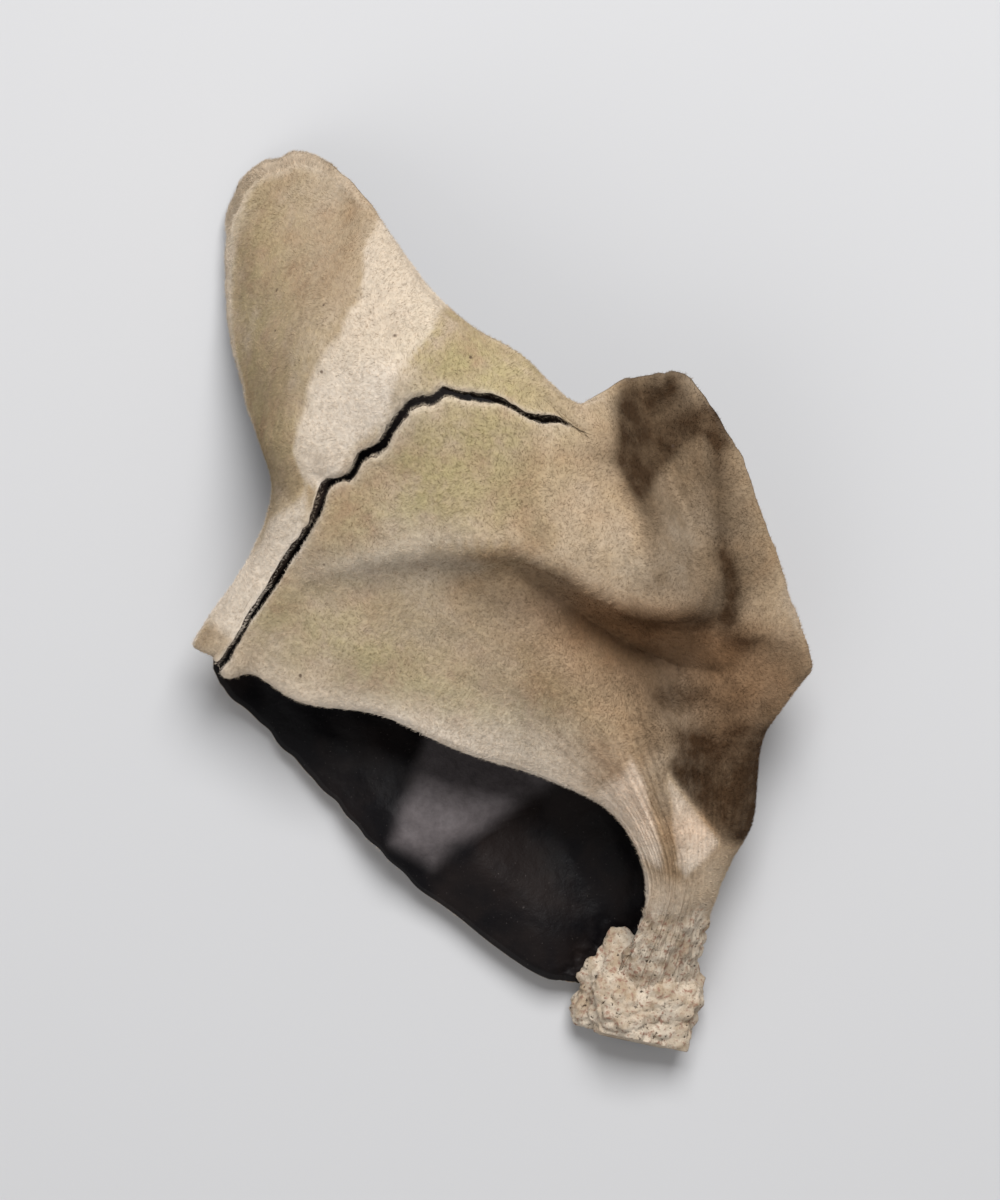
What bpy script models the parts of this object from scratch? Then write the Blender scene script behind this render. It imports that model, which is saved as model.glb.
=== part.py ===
"""One dried wood ear: a fan-shaped, leathery sheet that grew from a short stub and folded over as it dried.

The sheet is lofted from the stub through four rails. Each is followed from the free side of the rear wall
(share 0), round the fold on the right (share 50), to the free side of the front wall (share 100). The rear
wall lies on the surface with its black face up. The front wall arches over it with its felted back up, and
has a tear along its hump.
"""

import math

import bmesh
import bpy
from mathutils import Vector, noise

MM = 0.001

# Driving dimensions, in millimetres
SHEET_THICKNESS = 1.3
STUB_CENTRE = Vector((9.1, -27.0, 2.3))
STUB_RADII = Vector((4.4, 4.4, 2.6))
STUB_CUT = 2.9
CUT_SLANT = Vector((-0.22, -1.0, 0.15))
NECK_HALF_WIDTH = 2.6
NECK_SHIFT = 0.7
NECK_HALF_HEIGHT = 1.6
THIN_SHARE = 0.62
PRESSED_FLAT = 0.04
TEAR_WIDTH = 0.7
TEAR_JAG = 0.9
TEAR_FADE = 1.7
CREST_ROUNDING = 1.0
FLANK_SHAPE = 1.2
MARGIN_BITE = 0.012
SHEET_SPREAD = Vector((95.0, 42.0, 0.0))
BROAD_CRUMPLE = 11.0
BROAD_CRUMPLE_RISE = 1.0
FINE_CRUMPLE = 6.5
FINE_CRUMPLE_RISE = 0.45
STUB_LUMP_SHARE = 0.3
STUB_LUMPS_ACROSS = 1.9
TABLE_SIZE = Vector((80.0, 90.0, 6.0))
CENTRING = Vector((0.125, 0.257, 0.0))

# Mesh counts
COLUMNS = 70
ROWS_TO_TEAR = 22
ROWS_PAST_TEAR = 7

# Places of the rails along each rib, from stub (0) to margin (1)
KNEE_PLACE = 0.17
BODY_PLACE = 0.33
TEAR_PLACE = 0.70
THINNING_PLACE = 0.78

# Shares at which the tear starts, and over which the walls' folds fade in and the free sides thin
TEAR_START_SHARE = 76.0
TEAR_OPENING_SHARES = 4.0
REAR_FOLDS_END = (36.0, 48.0)
FRONT_FOLDS_START = (50.0, 60.0)
FREE_SIDE_SHARES = 5.0

# Rails: share across the sheet, then x, y, z in millimetres
KNEE_RAIL = [
    (0, 2.6, -25.0, 1.8),
    (15, 3.6, -21.6, 1.4),
    (30, 7.4, -19.8, 1.2),
    (42, 11.4, -19.2, 1.9),
    (48, 13.4, -19.4, 3.5),
    (52, 13.8, -19.4, 5.4),
    (60, 13.5, -18.8, 7.3),
    (75, 12.2, -18.3, 8.6),
    (90, 10.8, -18.5, 8.4),
    (100, 9.9, -19.1, 7.5),
]
BODY_RAIL = [
    (0, -5.4, -19.2, 1.6),
    (12, -3.8, -14.6, 1.0),
    (25, 2.5, -12.0, 0.8),
    (38, 9.5, -11.6, 1.4),
    (46, 14.8, -13.2, 3.2),
    (50, 16.0, -14.9, 5.2),
    (54, 15.5, -14.2, 7.2),
    (62, 13.9, -12.4, 9.2),
    (72, 11.8, -11.8, 10.2),
    (84, 9.4, -11.8, 10.2),
    (93, 7.9, -12.4, 9.2),
    (100, 6.6, -13.4, 8.0),
]
TEAR_RAIL = [
    (0, -13.6, -10.8, 1.6),
    (6, -13.2, -6.4, 1.2),
    (12, -11.8, -2.0, 1.0),
    (18, -9.4, 1.8, 0.8),
    (24, -5.8, 4.6, 0.8),
    (32, 0.0, 5.4, 0.6),
    (40, 7.6, 3.4, 0.7),
    (46, 13.8, -1.8, 4.0),
    (50, 16.8, -8.9, 6.0),
    (54, 16.4, -7.7, 8.4),
    (58, 15.2, -4.8, 10.2),
    (63, 13.2, -0.6, 12.0),
    (68, 10.8, 4.6, 13.4),
    (73, 6.9, 8.8, 14.4),
    (76, 4.4, 10.7, 14.8),
    (78, 2.6, 11.2, 15.0),
    (82, -1.8, 12.7, 15.0),
    (86, -5.2, 12.5, 14.6),
    (90, -8.1, 9.7, 13.6),
    (94, -11.3, 6.4, 12.0),
    (97, -14.2, 1.6, 9.8),
    (100, -18.4, -4.0, 7.0),
]
MARGIN_RAIL = [
    (0, -19.6, -4.8, 2.4),
    (5, -18.6, -1.0, 2.2),
    (10, -16.8, 3.0, 1.8),
    (16, -13.8, 7.6, 1.5),
    (22, -9.8, 12.8, 0.9),
    (28, -3.8, 15.8, 0.5),
    (35, 3.7, 13.4, 0.8),
    (40, 9.5, 8.6, 2.2),
    (44, 14.0, 4.6, 4.6),
    (48, 17.8, -0.8, 6.2),
    (51, 20.4, -4.6, 7.8),
    (55, 19.2, -0.8, 9.6),
    (59, 17.4, 4.0, 11.2),
    (63, 15.2, 9.6, 12.2),
    (67, 11.8, 14.6, 12.0),
    (71, 8.0, 14.2, 12.9),
    (73, 6.4, 13.0, 13.6),
    (74.6, 5.0, 12.3, 14.1),
    (76, 3.6, 13.1, 13.7),
    (77.4, 0.8, 15.7, 12.8),
    (79, -2.8, 18.0, 11.6),
    (81, -5.9, 21.2, 10.0),
    (84, -9.4, 26.6, 7.4),
    (86.5, -13.0, 30.4, 2.6),
    (88.2, -16.9, 30.2, 0.3),
    (89.6, -18.9, 27.9, 0.2),
    (91.5, -19.0, 22.0, 1.2),
    (94, -17.4, 14.0, 4.4),
    (96, -15.0, 7.6, 7.4),
    (98, -16.2, 3.2, 6.8),
    (100, -20.6, -3.0, 5.2),
]

# Folds seen from above: reach to the left and right of the path, then its points as x, y and rise
FRONT_FOLDS = [
    # lip of the hump, a sharp step on its lower side
    (4.6, 0.9, [
        (-13.0, 1.6, 0.2), (-8.5, 2.9, 0.9), (-4.0, 3.7, 1.1), (1.0, 4.0, 1.3),
        (4.2, 2.9, 1.8), (8.0, 0.7, 2.0), (11.6, -0.2, 1.4), (14.0, -0.6, 0.0),
    ]),
    # valley under the lip
    (1.6, 4.2, [
        (-10.0, 0.4, -0.2), (-4.0, 1.6, -0.9), (1.5, 1.2, -1.7), (5.2, -1.2, -3.0),
        (8.6, -3.2, -4.2), (11.6, -4.4, -4.2), (14.6, -5.0, -1.4), (17.0, -5.2, 0.0),
    ]),
    # shoulder of the lower body, running down to the stub
    (1.5, 4.6, [
        (2.0, 0.4, 0.0), (5.6, -3.8, 1.0), (8.9, -6.9, 2.0), (11.0, -10.5, 2.0),
        (11.4, -14.5, 0.7), (11.8, -18.5, 0.1),
    ]),
    # hollow between the shoulder and the right-hand fold
    (1.8, 1.8, [(12.8, -7.0, -0.8), (13.4, -11.5, -0.9), (13.6, -15.5, -0.1)]),
    # ridge from the tear down to the lip
    (1.6, 2.6, [(6.0, 12.6, 0.5), (6.8, 8.6, 1.3), (8.4, 4.8, 1.8), (11.0, 0.8, 1.4)]),
    # hollow and raised rim at the upper right
    (2.2, 1.6, [
        (8.8, 15.0, -3.0), (9.4, 10.3, -3.0), (11.0, 6.6, -2.5), (12.4, 3.4, -1.0), (13.6, 1.2, 0.0),
    ]),
    (1.5, 1.5, [(12.0, 14.0, 0.6), (13.8, 8.0, 1.2), (15.0, 4.0, 0.0)]),
    # creases of the far lobe
    (7.0, 3.4, [
        (-8.1, 25.4, 1.2), (-9.4, 20.8, 2.6), (-12.2, 15.6, 3.2), (-13.6, 10.3, 2.4), (-12.8, 7.0, 0.8),
    ]),
    (2.2, 3.0, [(-2.4, 18.4, 0.8), (-6.5, 14.0, 1.4)]),
    # waves of the free side
    (1.6, 1.6, [(-4.4, -9.6, 0.8), (-3.4, -5.0, 0.3)]),
    (1.6, 1.6, [(1.4, -11.6, -0.8), (1.0, -6.0, -0.2)]),
    (1.4, 1.4, [(-13.0, -7.0, 0.7), (-10.0, -3.0, 0.3)]),
]
REAR_FOLDS = [
    (2.2, 2.2, [(4.0, -23.0, 1.0), (-3.0, -16.0, 1.3), (-9.0, -9.0, 0.6)]),
    (2.6, 2.6, [(6.0, -20.0, -0.3), (0.0, -10.0, -0.5), (-8.0, 0.0, -0.4)]),
    (2.4, 2.4, [(8.0, -18.0, 0.8), (6.0, -8.0, 1.1), (0.0, 2.0, 0.4)]),
    (3.2, 3.2, [(8.4, 2.0, -1.2), (5.0, 8.0, -1.2), (1.0, 12.4, -0.8)]),
    (1.1, 3.4, [(5.0, -10.8, 0.4), (0.4, -13.6, 1.3), (-6.6, -16.8, 1.0)]),
]

# How far the hump's lip leans over the valley: the way that it leans, then a fold whose rise is that lean
LIP_LEAN = Vector((0.25, -0.97, 0.0))
LIP_LEANING = (3.4, 1.0, [
    (-6.0, 3.4, 0.0), (-3.0, 3.8, 0.4), (1.0, 4.0, 0.8), (4.2, 2.9, 1.2), (8.0, 0.7, 1.3), (11.4, -0.2, 0.8),
    (13.4, -0.6, 0.0),
])

# How far the front wall's free side stands out in waves: place along the rib, then the reach
FREE_SIDE_OUTWARD = Vector((-0.35, -0.94, 0.0))
FREE_SIDE_WAVES = [
    (0.0, 0.0), (0.30, 0.0), (0.38, 0.4), (0.46, 0.9), (0.52, 0.4), (0.58, 1.1), (0.64, 0.2), (0.68, 0.7),
    (0.74, 0.1), (1.0, 0.0),
]
FREE_SIDE_WAVE_SHARES = 9.0


def smooth(low, high, value):
    """0 below low, 1 above high, and an S curve between."""
    share = min(1.0, max(0.0, (value - low) / (high - low)))
    return share * share * (3 - 2 * share)


def hermite(knots, points, place):
    """The smooth curve through points at the given knots, read at a place, without overshoot."""
    last = len(knots) - 2
    index = next((i for i in range(last) if place < knots[i + 1]), last)

    def secant(i):
        return (points[i + 1] - points[i]) / (knots[i + 1] - knots[i])

    def slope(i):
        if i == 0 or i == last + 1:
            return secant(min(i, last))
        before, after = secant(i - 1), secant(i)
        low, high = sorted((before.length + 1e-9, after.length + 1e-9))
        speed = min(1.3 * low, 2 * low * high / (low + high))
        return (before.normalized() + after.normalized()) / 2 * speed

    step = knots[index + 1] - knots[index]
    t = (place - knots[index]) / step
    start, end = points[index], points[index + 1]
    return (
        start * (2 * t**3 - 3 * t**2 + 1)
        + slope(index) * step * (t**3 - 2 * t**2 + t)
        + end * (3 * t**2 - 2 * t**3)
        + slope(index + 1) * step * (t**3 - t**2)
    )


def rail_at(rail, share):
    return hermite([p[0] for p in rail], [Vector(p[1:]) for p in rail], share)


def neck_at(share):
    """The sheet's start inside the stub: a flattened C, open on the left."""
    turn = math.radians(-150 + 300 * share / 100)
    across = Vector((NECK_HALF_WIDTH * math.cos(turn), 0, NECK_HALF_HEIGHT * math.sin(turn)))
    return STUB_CENTRE + Vector((NECK_SHIFT, 1.0, 0)) + across


def fold_at(point, left_reach, right_reach, path):
    """The rise of one fold at a point seen from above: its crest's rise, fading to either side."""
    total = distance = side = rise = 0.0
    for before, after in zip(path, path[1:]):
        start, span = Vector(before[:2]), Vector(after[:2]) - Vector(before[:2])
        t = min(1.0, max(0.0, (point - start).dot(span) / span.length_squared))
        away = point - start - span * t
        weight = 1 / (away.length + 0.05) ** 6
        total += weight
        distance += weight * away.length
        side += weight * span.cross(away) / (span.length * away.length + 1e-9)
        rise += weight * (before[2] + (after[2] - before[2]) * t)
    distance, side, rise = distance / total, side / total, rise / total
    reach = (left_reach + right_reach + (left_reach - right_reach) * side) / 2
    rounded = math.hypot(distance, CREST_ROUNDING) - CREST_ROUNDING
    return rise * math.exp(-((rounded / reach) ** FLANK_SHAPE))


def fold_rise(point, share):
    """How far the folds lift or sink the sheet at a point."""
    in_front = smooth(*FRONT_FOLDS_START, share)
    behind = 1 - smooth(*REAR_FOLDS_END, share)
    rise = 0.0
    for weight, folds in ((in_front, FRONT_FOLDS), (behind, REAR_FOLDS)):
        if weight > 0:
            rise += weight * sum(fold_at(point.xy, *fold) for fold in folds)
    return rise


def free_side_wave(share, place):
    """How far a point is moved outwards with the waves of the front wall's free side."""
    near = smooth(100 - FREE_SIDE_WAVE_SHARES, 100, share)
    if near == 0:
        return Vector()
    knots = [wave[0] for wave in FREE_SIDE_WAVES]
    reach = hermite(knots, [Vector((wave[1], 0, 0)) for wave in FREE_SIDE_WAVES], place).x
    return FREE_SIDE_OUTWARD * (near * reach)


def crumple(share, place):
    """Leathery unevenness that grows towards the margin."""
    at = Vector((share / 100 * SHEET_SPREAD.x, place * SHEET_SPREAD.y, 0.0))
    broad = noise.noise(at / BROAD_CRUMPLE) * BROAD_CRUMPLE_RISE
    fine = noise.noise(at / FINE_CRUMPLE + Vector((7.3, 2.1, 0.4))) * FINE_CRUMPLE_RISE
    return (broad + fine) * smooth(0.02, 0.75, place)


def thickness_at(share, place):
    """Full in the middle, thinning to the margin and to both free sides."""
    free_side = max(1 - smooth(0, FREE_SIDE_SHARES, share), smooth(100 - FREE_SIDE_SHARES, 100, share))
    edge = max(smooth(THINNING_PLACE, 1.0, place), free_side)
    return SHEET_THICKNESS * (1 - (1 - THIN_SHARE) * edge * smooth(0.1, 0.3, place))


def sheet_point(share, place):
    """A point of the sheet's middle surface, in millimetres."""
    bitten = MARGIN_BITE * (1 + noise.noise(Vector((share * 0.42, 8.8, 0.0)))) * smooth(0.8, 1.0, place)
    place -= bitten
    rails = [KNEE_RAIL, BODY_RAIL, TEAR_RAIL, MARGIN_RAIL]
    points = [neck_at(share)] + [rail_at(rail, share) for rail in rails]
    point = hermite([0.0, KNEE_PLACE, BODY_PLACE, TEAR_PLACE, 1.0], points, place)
    settled = smooth(0.0, 0.2, place)
    leaning = smooth(*FRONT_FOLDS_START, share) * fold_at(point.xy, *LIP_LEANING)
    point.z += settled * fold_rise(point, share) + crumple(share, place)
    point += LIP_LEAN * leaning + free_side_wave(share, place)
    point.z = max(point.z, thickness_at(share, place) / 2 - PRESSED_FLAT)
    return point


def tear_shift(point, share, side, tip):
    """Moves a point near the tear: along its jagged line, and apart on its sides (-1 and 1) past its tip."""
    middle = sheet_point(share, TEAR_PLACE)
    outward = (sheet_point(share, TEAR_PLACE + 0.01) - sheet_point(share, TEAR_PLACE - 0.01)).normalized()
    jag = TEAR_JAG * noise.noise(Vector((share * 0.55, 4.2, 0.0)))
    opened = min(1.0, max(0.0, share - tip) / TEAR_OPENING_SHARES) ** 0.5
    fade = math.exp(-(((point - middle).length / TEAR_FADE) ** 2))
    return outward * fade * opened * (jag + side * TEAR_WIDTH / 2)


def column_shares(count):
    """Shares at even steps of the sheet's width, taken half way between tear and margin."""
    fine = [100 * i / 1000 for i in range(1001)]
    line = [(rail_at(TEAR_RAIL, s) + rail_at(MARGIN_RAIL, s)) / 2 for s in fine]
    reached = [0.0]
    for before, after in zip(line, line[1:]):
        reached.append(reached[-1] + (after - before).length)
    shares, index = [], 0
    for column in range(count + 1):
        wanted = reached[-1] * column / count
        while index < 999 and reached[index + 1] < wanted:
            index += 1
        part = (wanted - reached[index]) / (reached[index + 1] - reached[index])
        shares.append(fine[index] + 0.1 * min(1.0, part))
    return shares


def row_place(row):
    if row <= ROWS_TO_TEAR:
        return TEAR_PLACE * row / ROWS_TO_TEAR
    return TEAR_PLACE + (1 - TEAR_PLACE) * (row - ROWS_TO_TEAR) / ROWS_PAST_TEAR


def make_sheet():
    """The middle surface as a grid, split along the tear, which Solidify then thickens."""
    rows = ROWS_TO_TEAR + ROWS_PAST_TEAR
    bm = bmesh.new()
    bmesh.ops.create_grid(bm, x_segments=COLUMNS, y_segments=rows, size=1.0)
    shares = column_shares(COLUMNS)
    tip = min(share for share in shares if share >= TEAR_START_SHARE)
    column = bm.verts.layers.int.new("column")
    row = bm.verts.layers.int.new("row")
    for vert in bm.verts:
        vert[column] = round((1 - vert.co.x) / 2 * COLUMNS)
        vert[row] = round((vert.co.y + 1) / 2 * rows)
    torn = [
        edge
        for edge in bm.edges
        if all(v[row] == ROWS_TO_TEAR and shares[v[column]] >= tip for v in edge.verts)
    ]
    bmesh.ops.split_edges(bm, edges=torn)
    thinning = bm.verts.layers.deform.new()
    for vert in bm.verts:
        share, place = shares[vert[column]], row_place(vert[row])
        point = sheet_point(share, place)
        if share > tip:
            past = max(v[row] for face in vert.link_faces for v in face.verts) > ROWS_TO_TEAR
            point += tear_shift(point, share, 1 if past else -1, tip)
        vert.co = (point + CENTRING) * MM
        vert[thinning][0] = thickness_at(share, place) / SHEET_THICKNESS
    mesh = bpy.data.meshes.new("wood_ear")
    bm.to_mesh(mesh)
    bm.free()
    ear = bpy.data.objects.new("wood_ear", mesh)
    bpy.context.scene.collection.objects.link(ear)
    ear.vertex_groups.new(name="thinning")
    thick = ear.modifiers.new("thickness", "SOLIDIFY")
    thick.thickness = SHEET_THICKNESS * MM
    thick.offset = 0.0
    thick.vertex_group = "thinning"
    return ear


def make_stub():
    """The short foot that held the ear to the wood, cut off flat at harvest."""
    bm = bmesh.new()
    bmesh.ops.create_icosphere(bm, subdivisions=3, radius=1.0)
    for vert in bm.verts:
        lump = 1 + STUB_LUMP_SHARE * noise.noise(vert.co * STUB_LUMPS_ACROSS + Vector((3.1, 0.2, 5.0)))
        vert.co = (Vector(a * b for a, b in zip(vert.co, STUB_RADII)) * lump + STUB_CENTRE + CENTRING) * MM
    cut = (STUB_CENTRE + CENTRING + Vector((0.0, -STUB_CUT, 0.0))) * MM
    everything = bm.verts[:] + bm.edges[:] + bm.faces[:]
    bmesh.ops.bisect_plane(bm, geom=everything, plane_co=cut, plane_no=CUT_SLANT, clear_outer=True)
    bmesh.ops.holes_fill(bm, edges=[edge for edge in bm.edges if edge.is_boundary])
    mesh = bpy.data.meshes.new("stub")
    bm.to_mesh(mesh)
    bm.free()
    stub = bpy.data.objects.new("stub_guide", mesh)
    bpy.context.scene.collection.objects.link(stub)
    stub.hide_render = True
    stub.display_type = "WIRE"
    return stub


def make_table():
    """Cuts the lowest places flat at z = 0, where the ear has rested and been pressed in packing."""
    bm = bmesh.new()
    bmesh.ops.create_cube(bm, size=1.0)
    for vert in bm.verts:
        vert.co = Vector(a * b for a, b in zip(vert.co - Vector((0, 0, 0.5)), TABLE_SIZE)) * MM
    mesh = bpy.data.meshes.new("table")
    bm.to_mesh(mesh)
    bm.free()
    table = bpy.data.objects.new("table_guide", mesh)
    bpy.context.scene.collection.objects.link(table)
    table.hide_render = True
    table.display_type = "WIRE"
    return table


def felt_material():
    material = bpy.data.materials.new("felted back")
    material.use_nodes = True
    shader = material.node_tree.nodes["Principled BSDF"]
    shader.inputs["Base Color"].default_value = (0.40, 0.30, 0.19, 1)
    shader.inputs["Roughness"].default_value = 0.9
    shader.inputs["Metallic"].default_value = 0.0
    return material


def main():
    for obj in list(bpy.data.objects):
        bpy.data.objects.remove(obj)
    ear = make_sheet()
    ear.data.materials.append(felt_material())
    joined = ear.modifiers.new("stub", "BOOLEAN")
    joined.operation = "UNION"
    joined.object = make_stub()
    rested = ear.modifiers.new("rest", "BOOLEAN")
    rested.operation = "DIFFERENCE"
    rested.object = make_table()


main()
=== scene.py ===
import math

import bmesh
import bpy
import numpy as np
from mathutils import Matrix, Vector, noise


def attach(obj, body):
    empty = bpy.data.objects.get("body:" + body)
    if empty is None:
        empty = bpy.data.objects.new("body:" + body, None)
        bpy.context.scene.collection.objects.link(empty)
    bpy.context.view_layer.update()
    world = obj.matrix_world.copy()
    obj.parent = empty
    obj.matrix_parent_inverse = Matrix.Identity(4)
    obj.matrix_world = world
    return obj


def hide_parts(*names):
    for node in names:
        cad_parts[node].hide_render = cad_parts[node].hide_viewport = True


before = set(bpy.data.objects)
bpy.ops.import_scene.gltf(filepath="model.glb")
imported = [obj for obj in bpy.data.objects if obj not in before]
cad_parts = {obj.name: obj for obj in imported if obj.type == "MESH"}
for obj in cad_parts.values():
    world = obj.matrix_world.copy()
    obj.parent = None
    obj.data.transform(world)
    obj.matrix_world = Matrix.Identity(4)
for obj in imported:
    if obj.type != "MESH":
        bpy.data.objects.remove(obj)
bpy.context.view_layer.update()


# Camera, table and light.
# The ear is seen from straight above, as it lies, with the far lobe at the top of the picture. It lies on
# a plain pale table in soft light from the top of the picture, with a weak fill from the front and all round.
MM = 0.001
VIEW_HEIGHT = 79.0 * MM
VIEW_CENTRE = Vector((0.0, 0.0, 8.0)) * MM
LENS = 135.0
SENSOR = 36.0
CLIP_START = 0.01
TABLE_REACH = 2.0
TABLE_COLOUR, TABLE_ROUGHNESS = (0.55, 0.55, 0.56, 1), 0.7
# Each light's place and size in metres, then its power
WINDOW = ((0.05, 0.24, 0.37), 0.24, 2.3)
FRONT_FILL = ((-0.20, -0.25, 0.35), 0.40, 0.4)
SURROUNDINGS_COLOUR, SURROUNDINGS_STRENGTH = (1.0, 1.0, 1.0, 1), 0.26


def add_object(name, data):
    thing = bpy.data.objects.new(name, data)
    scene.collection.objects.link(thing)
    return thing


def mesh_of(bm, name):
    mesh = bpy.data.meshes.new(name)
    bm.to_mesh(mesh)
    bm.free()
    return mesh


def add_light(name, place, size, power):
    """A square light that faces the ear."""
    lamp = bpy.data.lights.new(name, "AREA")
    lamp.size = size
    lamp.energy = power
    thing = add_object(name, lamp)
    thing.location = place
    thing.rotation_euler = (-thing.location).to_track_quat("-Z", "Y").to_euler()


scene = bpy.context.scene
camera = add_object("camera", bpy.data.cameras.new("camera"))
camera.data.sensor_fit = "VERTICAL"
camera.data.sensor_height = SENSOR
camera.data.lens = LENS
camera.data.clip_start = CLIP_START
camera.location = VIEW_CENTRE + Vector((0.0, 0.0, VIEW_HEIGHT * LENS / SENSOR))
scene.camera = camera

bm = bmesh.new()
bmesh.ops.create_grid(bm, x_segments=1, y_segments=1, size=TABLE_REACH)
table = add_object("table", mesh_of(bm, "table"))
table_paint = bpy.data.materials.new("pale table")
table_paint.use_nodes = True
table_shader = table_paint.node_tree.nodes["Principled BSDF"]
table_shader.inputs["Base Color"].default_value = TABLE_COLOUR
table_shader.inputs["Roughness"].default_value = TABLE_ROUGHNESS
table.data.materials.append(table_paint)

add_light("window", *WINDOW)
add_light("front fill", *FRONT_FILL)
scene.world = bpy.data.worlds.new("studio")
scene.world.use_nodes = True
surroundings = scene.world.node_tree.nodes["Background"]
surroundings.inputs["Color"].default_value = SURROUNDINGS_COLOUR
surroundings.inputs["Strength"].default_value = SURROUNDINGS_STRENGTH
scene.view_settings.view_transform = "Standard"


# The sheet: the ear's own leathery flesh.
# A fan of flesh about a millimetre thick that grew from the stub as one piece, felted outside and with a
# smooth dark skin inside. It folded over on itself as it dried, and its hump has torn open.
SHEET_THICKNESS = 1.3
NAP_DEPTH = 0.16
STUB_CENTRE = Vector((9.1, -27.0, 2.3))
NECK_HALF_WIDTH = 2.6
NECK_SHIFT = 0.7
NECK_HALF_HEIGHT = 1.6
NECK_START_DEGREES, NECK_SWEEP_DEGREES = -150, 300
NECK_DEPTH = 1.0
THIN_SHARE = 0.62
THICK_NECK_PLACES = (0.1, 0.3)
PRESSED_FLAT = 0.04
CREST_ROUNDING = 0.5
LIP_ROUNDING = 0.15
FLANK_SHAPE = 1.2
PATH_BLEND, PATH_BLEND_POWER = 0.05, 6
STEEPEST_SLOPE = 1.3
CENTRING = np.array((0.125, 0.257, 0.0))
NEVER_ZERO = 1e-9

# Sizes are in millimetres. A share, 0 to 100, says where across the sheet a rib stands, from the rear wall's
# free side round the right-hand fold to the front wall's. A place, 0 to 1, is how far out along a rib.
KNEE_PLACE = 0.17
BODY_PLACE = 0.33
TEAR_PLACE = 0.70
THINNING_PLACE = 0.78
REAR_FOLDS_END = (36.0, 48.0)
FRONT_FOLDS_START = (50.0, 60.0)
FREE_SIDE_SHARES = 5.0

# Crumpling: how far it lifts the sheet, and the size that it repeats at
SHEET_ACROSS, SHEET_ALONG = 95.0, 42.0
BROAD_CRUMPLE, BROAD_CRUMPLE_SIZE = 1.0, 11.0
FINE_CRUMPLE, FINE_CRUMPLE_SIZE = 0.45, 6.5
FINE_CRUMPLE_OFFSET = (7.3, 2.1, 0.4)
CRUMPLE_PLACES = (0.02, 0.75)
FOLDED_PLACE = 0.2

# The grid that the sheet starts as, and how thick its outermost rows are beside the rest
COLUMNS = 318
FINE_COLUMNS = 1000
ROWS_TO_TEAR = 104
ROWS_PAST_TEAR = 42
LAST_ROW, ROW_BEFORE_LAST = 0.70, 0.90

# The tear: its width, how far its line strays, its small teeth, and how soon it opens behind its tip
TEAR_START_SHARE = 76.0
TEAR_OPENING_SHARES = 2.2
TEAR_WIDTH = 0.7
TEAR_FADE = 1.7
TEAR_JAG, TEAR_JAGS_ALONG, TEAR_JAG_ROW = 0.9, 0.55, 4.2
TEAR_TEETH, TEAR_TEETH_ALONG, TEAR_TEETH_ROW = 0.16, 3.1, 5.0
ALONG_RIB = 0.01

# The margin, in parts of a rib: bites and nicks in it, room for the hairs that stand on it, and round corners
MARGIN_BITE, MARGIN_BITES_ALONG, MARGIN_BITE_ROW = 0.012, 0.42, 8.8
MARGIN_NICK, MARGIN_NICKS_ALONG, MARGIN_NICKS_OUT, MARGIN_NICK_ROW = 0.006, 1.9, 9, 3.3
MARGIN_INSET = 0.006
FRAYED_INSET = 0.005
FRAYED_SHARES = (85.8, 90.2)
CORNER_ROUNDING = 0.030
CORNER_SHARES = 1.6
BITE_START, CORNER_START, NICK_START = 0.8, 0.85, 0.9

# Rails cross the sheet at four places along the ribs: share, then x, y and z
KNEE_RAIL = [
    (0, 2.6, -25.0, 1.8),
    (15, 3.6, -21.6, 1.4),
    (30, 7.4, -19.8, 1.2),
    (42, 11.4, -19.2, 1.9),
    (48, 13.4, -19.4, 3.5),
    (52, 13.8, -19.4, 5.4),
    (60, 13.5, -18.8, 7.3),
    (75, 12.2, -18.3, 8.6),
    (90, 10.8, -18.5, 8.4),
    (100, 9.9, -19.1, 7.5),
]
BODY_RAIL = [
    (0, -5.4, -19.2, 1.6),
    (12, -3.8, -14.6, 1.0),
    (25, 2.5, -12.0, 0.8),
    (38, 9.5, -11.6, 1.4),
    (46, 14.8, -13.2, 3.2),
    (50, 16.0, -14.9, 5.2),
    (54, 15.5, -14.2, 7.2),
    (62, 13.9, -12.4, 9.2),
    (72, 11.8, -11.8, 10.2),
    (84, 9.4, -11.8, 10.2),
    (93, 7.9, -12.4, 9.2),
    (100, 6.6, -13.4, 8.0),
]
TEAR_RAIL = [
    (0, -13.6, -10.8, 1.6),
    (6, -13.2, -6.4, 1.2),
    (12, -11.8, -2.0, 1.0),
    (18, -9.4, 1.8, 0.8),
    (24, -5.8, 4.6, 0.8),
    (32, 0.0, 5.4, 0.6),
    (40, 7.6, 3.4, 0.7),
    (46, 13.8, -1.8, 4.0),
    (50, 16.8, -8.9, 6.0),
    (54, 16.4, -7.7, 8.4),
    (58, 15.2, -4.8, 10.2),
    (63, 13.2, -0.6, 12.0),
    (68, 10.8, 4.6, 13.4),
    (73, 6.9, 8.8, 14.4),
    (76, 4.4, 10.7, 14.8),
    (78, 2.6, 11.2, 15.0),
    (82, -1.8, 12.7, 15.0),
    (86, -5.2, 12.5, 14.6),
    (90, -8.1, 9.7, 13.6),
    (94, -11.3, 6.4, 12.0),
    (97, -14.2, 1.6, 9.8),
    (100, -18.4, -4.0, 7.0),
]
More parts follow.
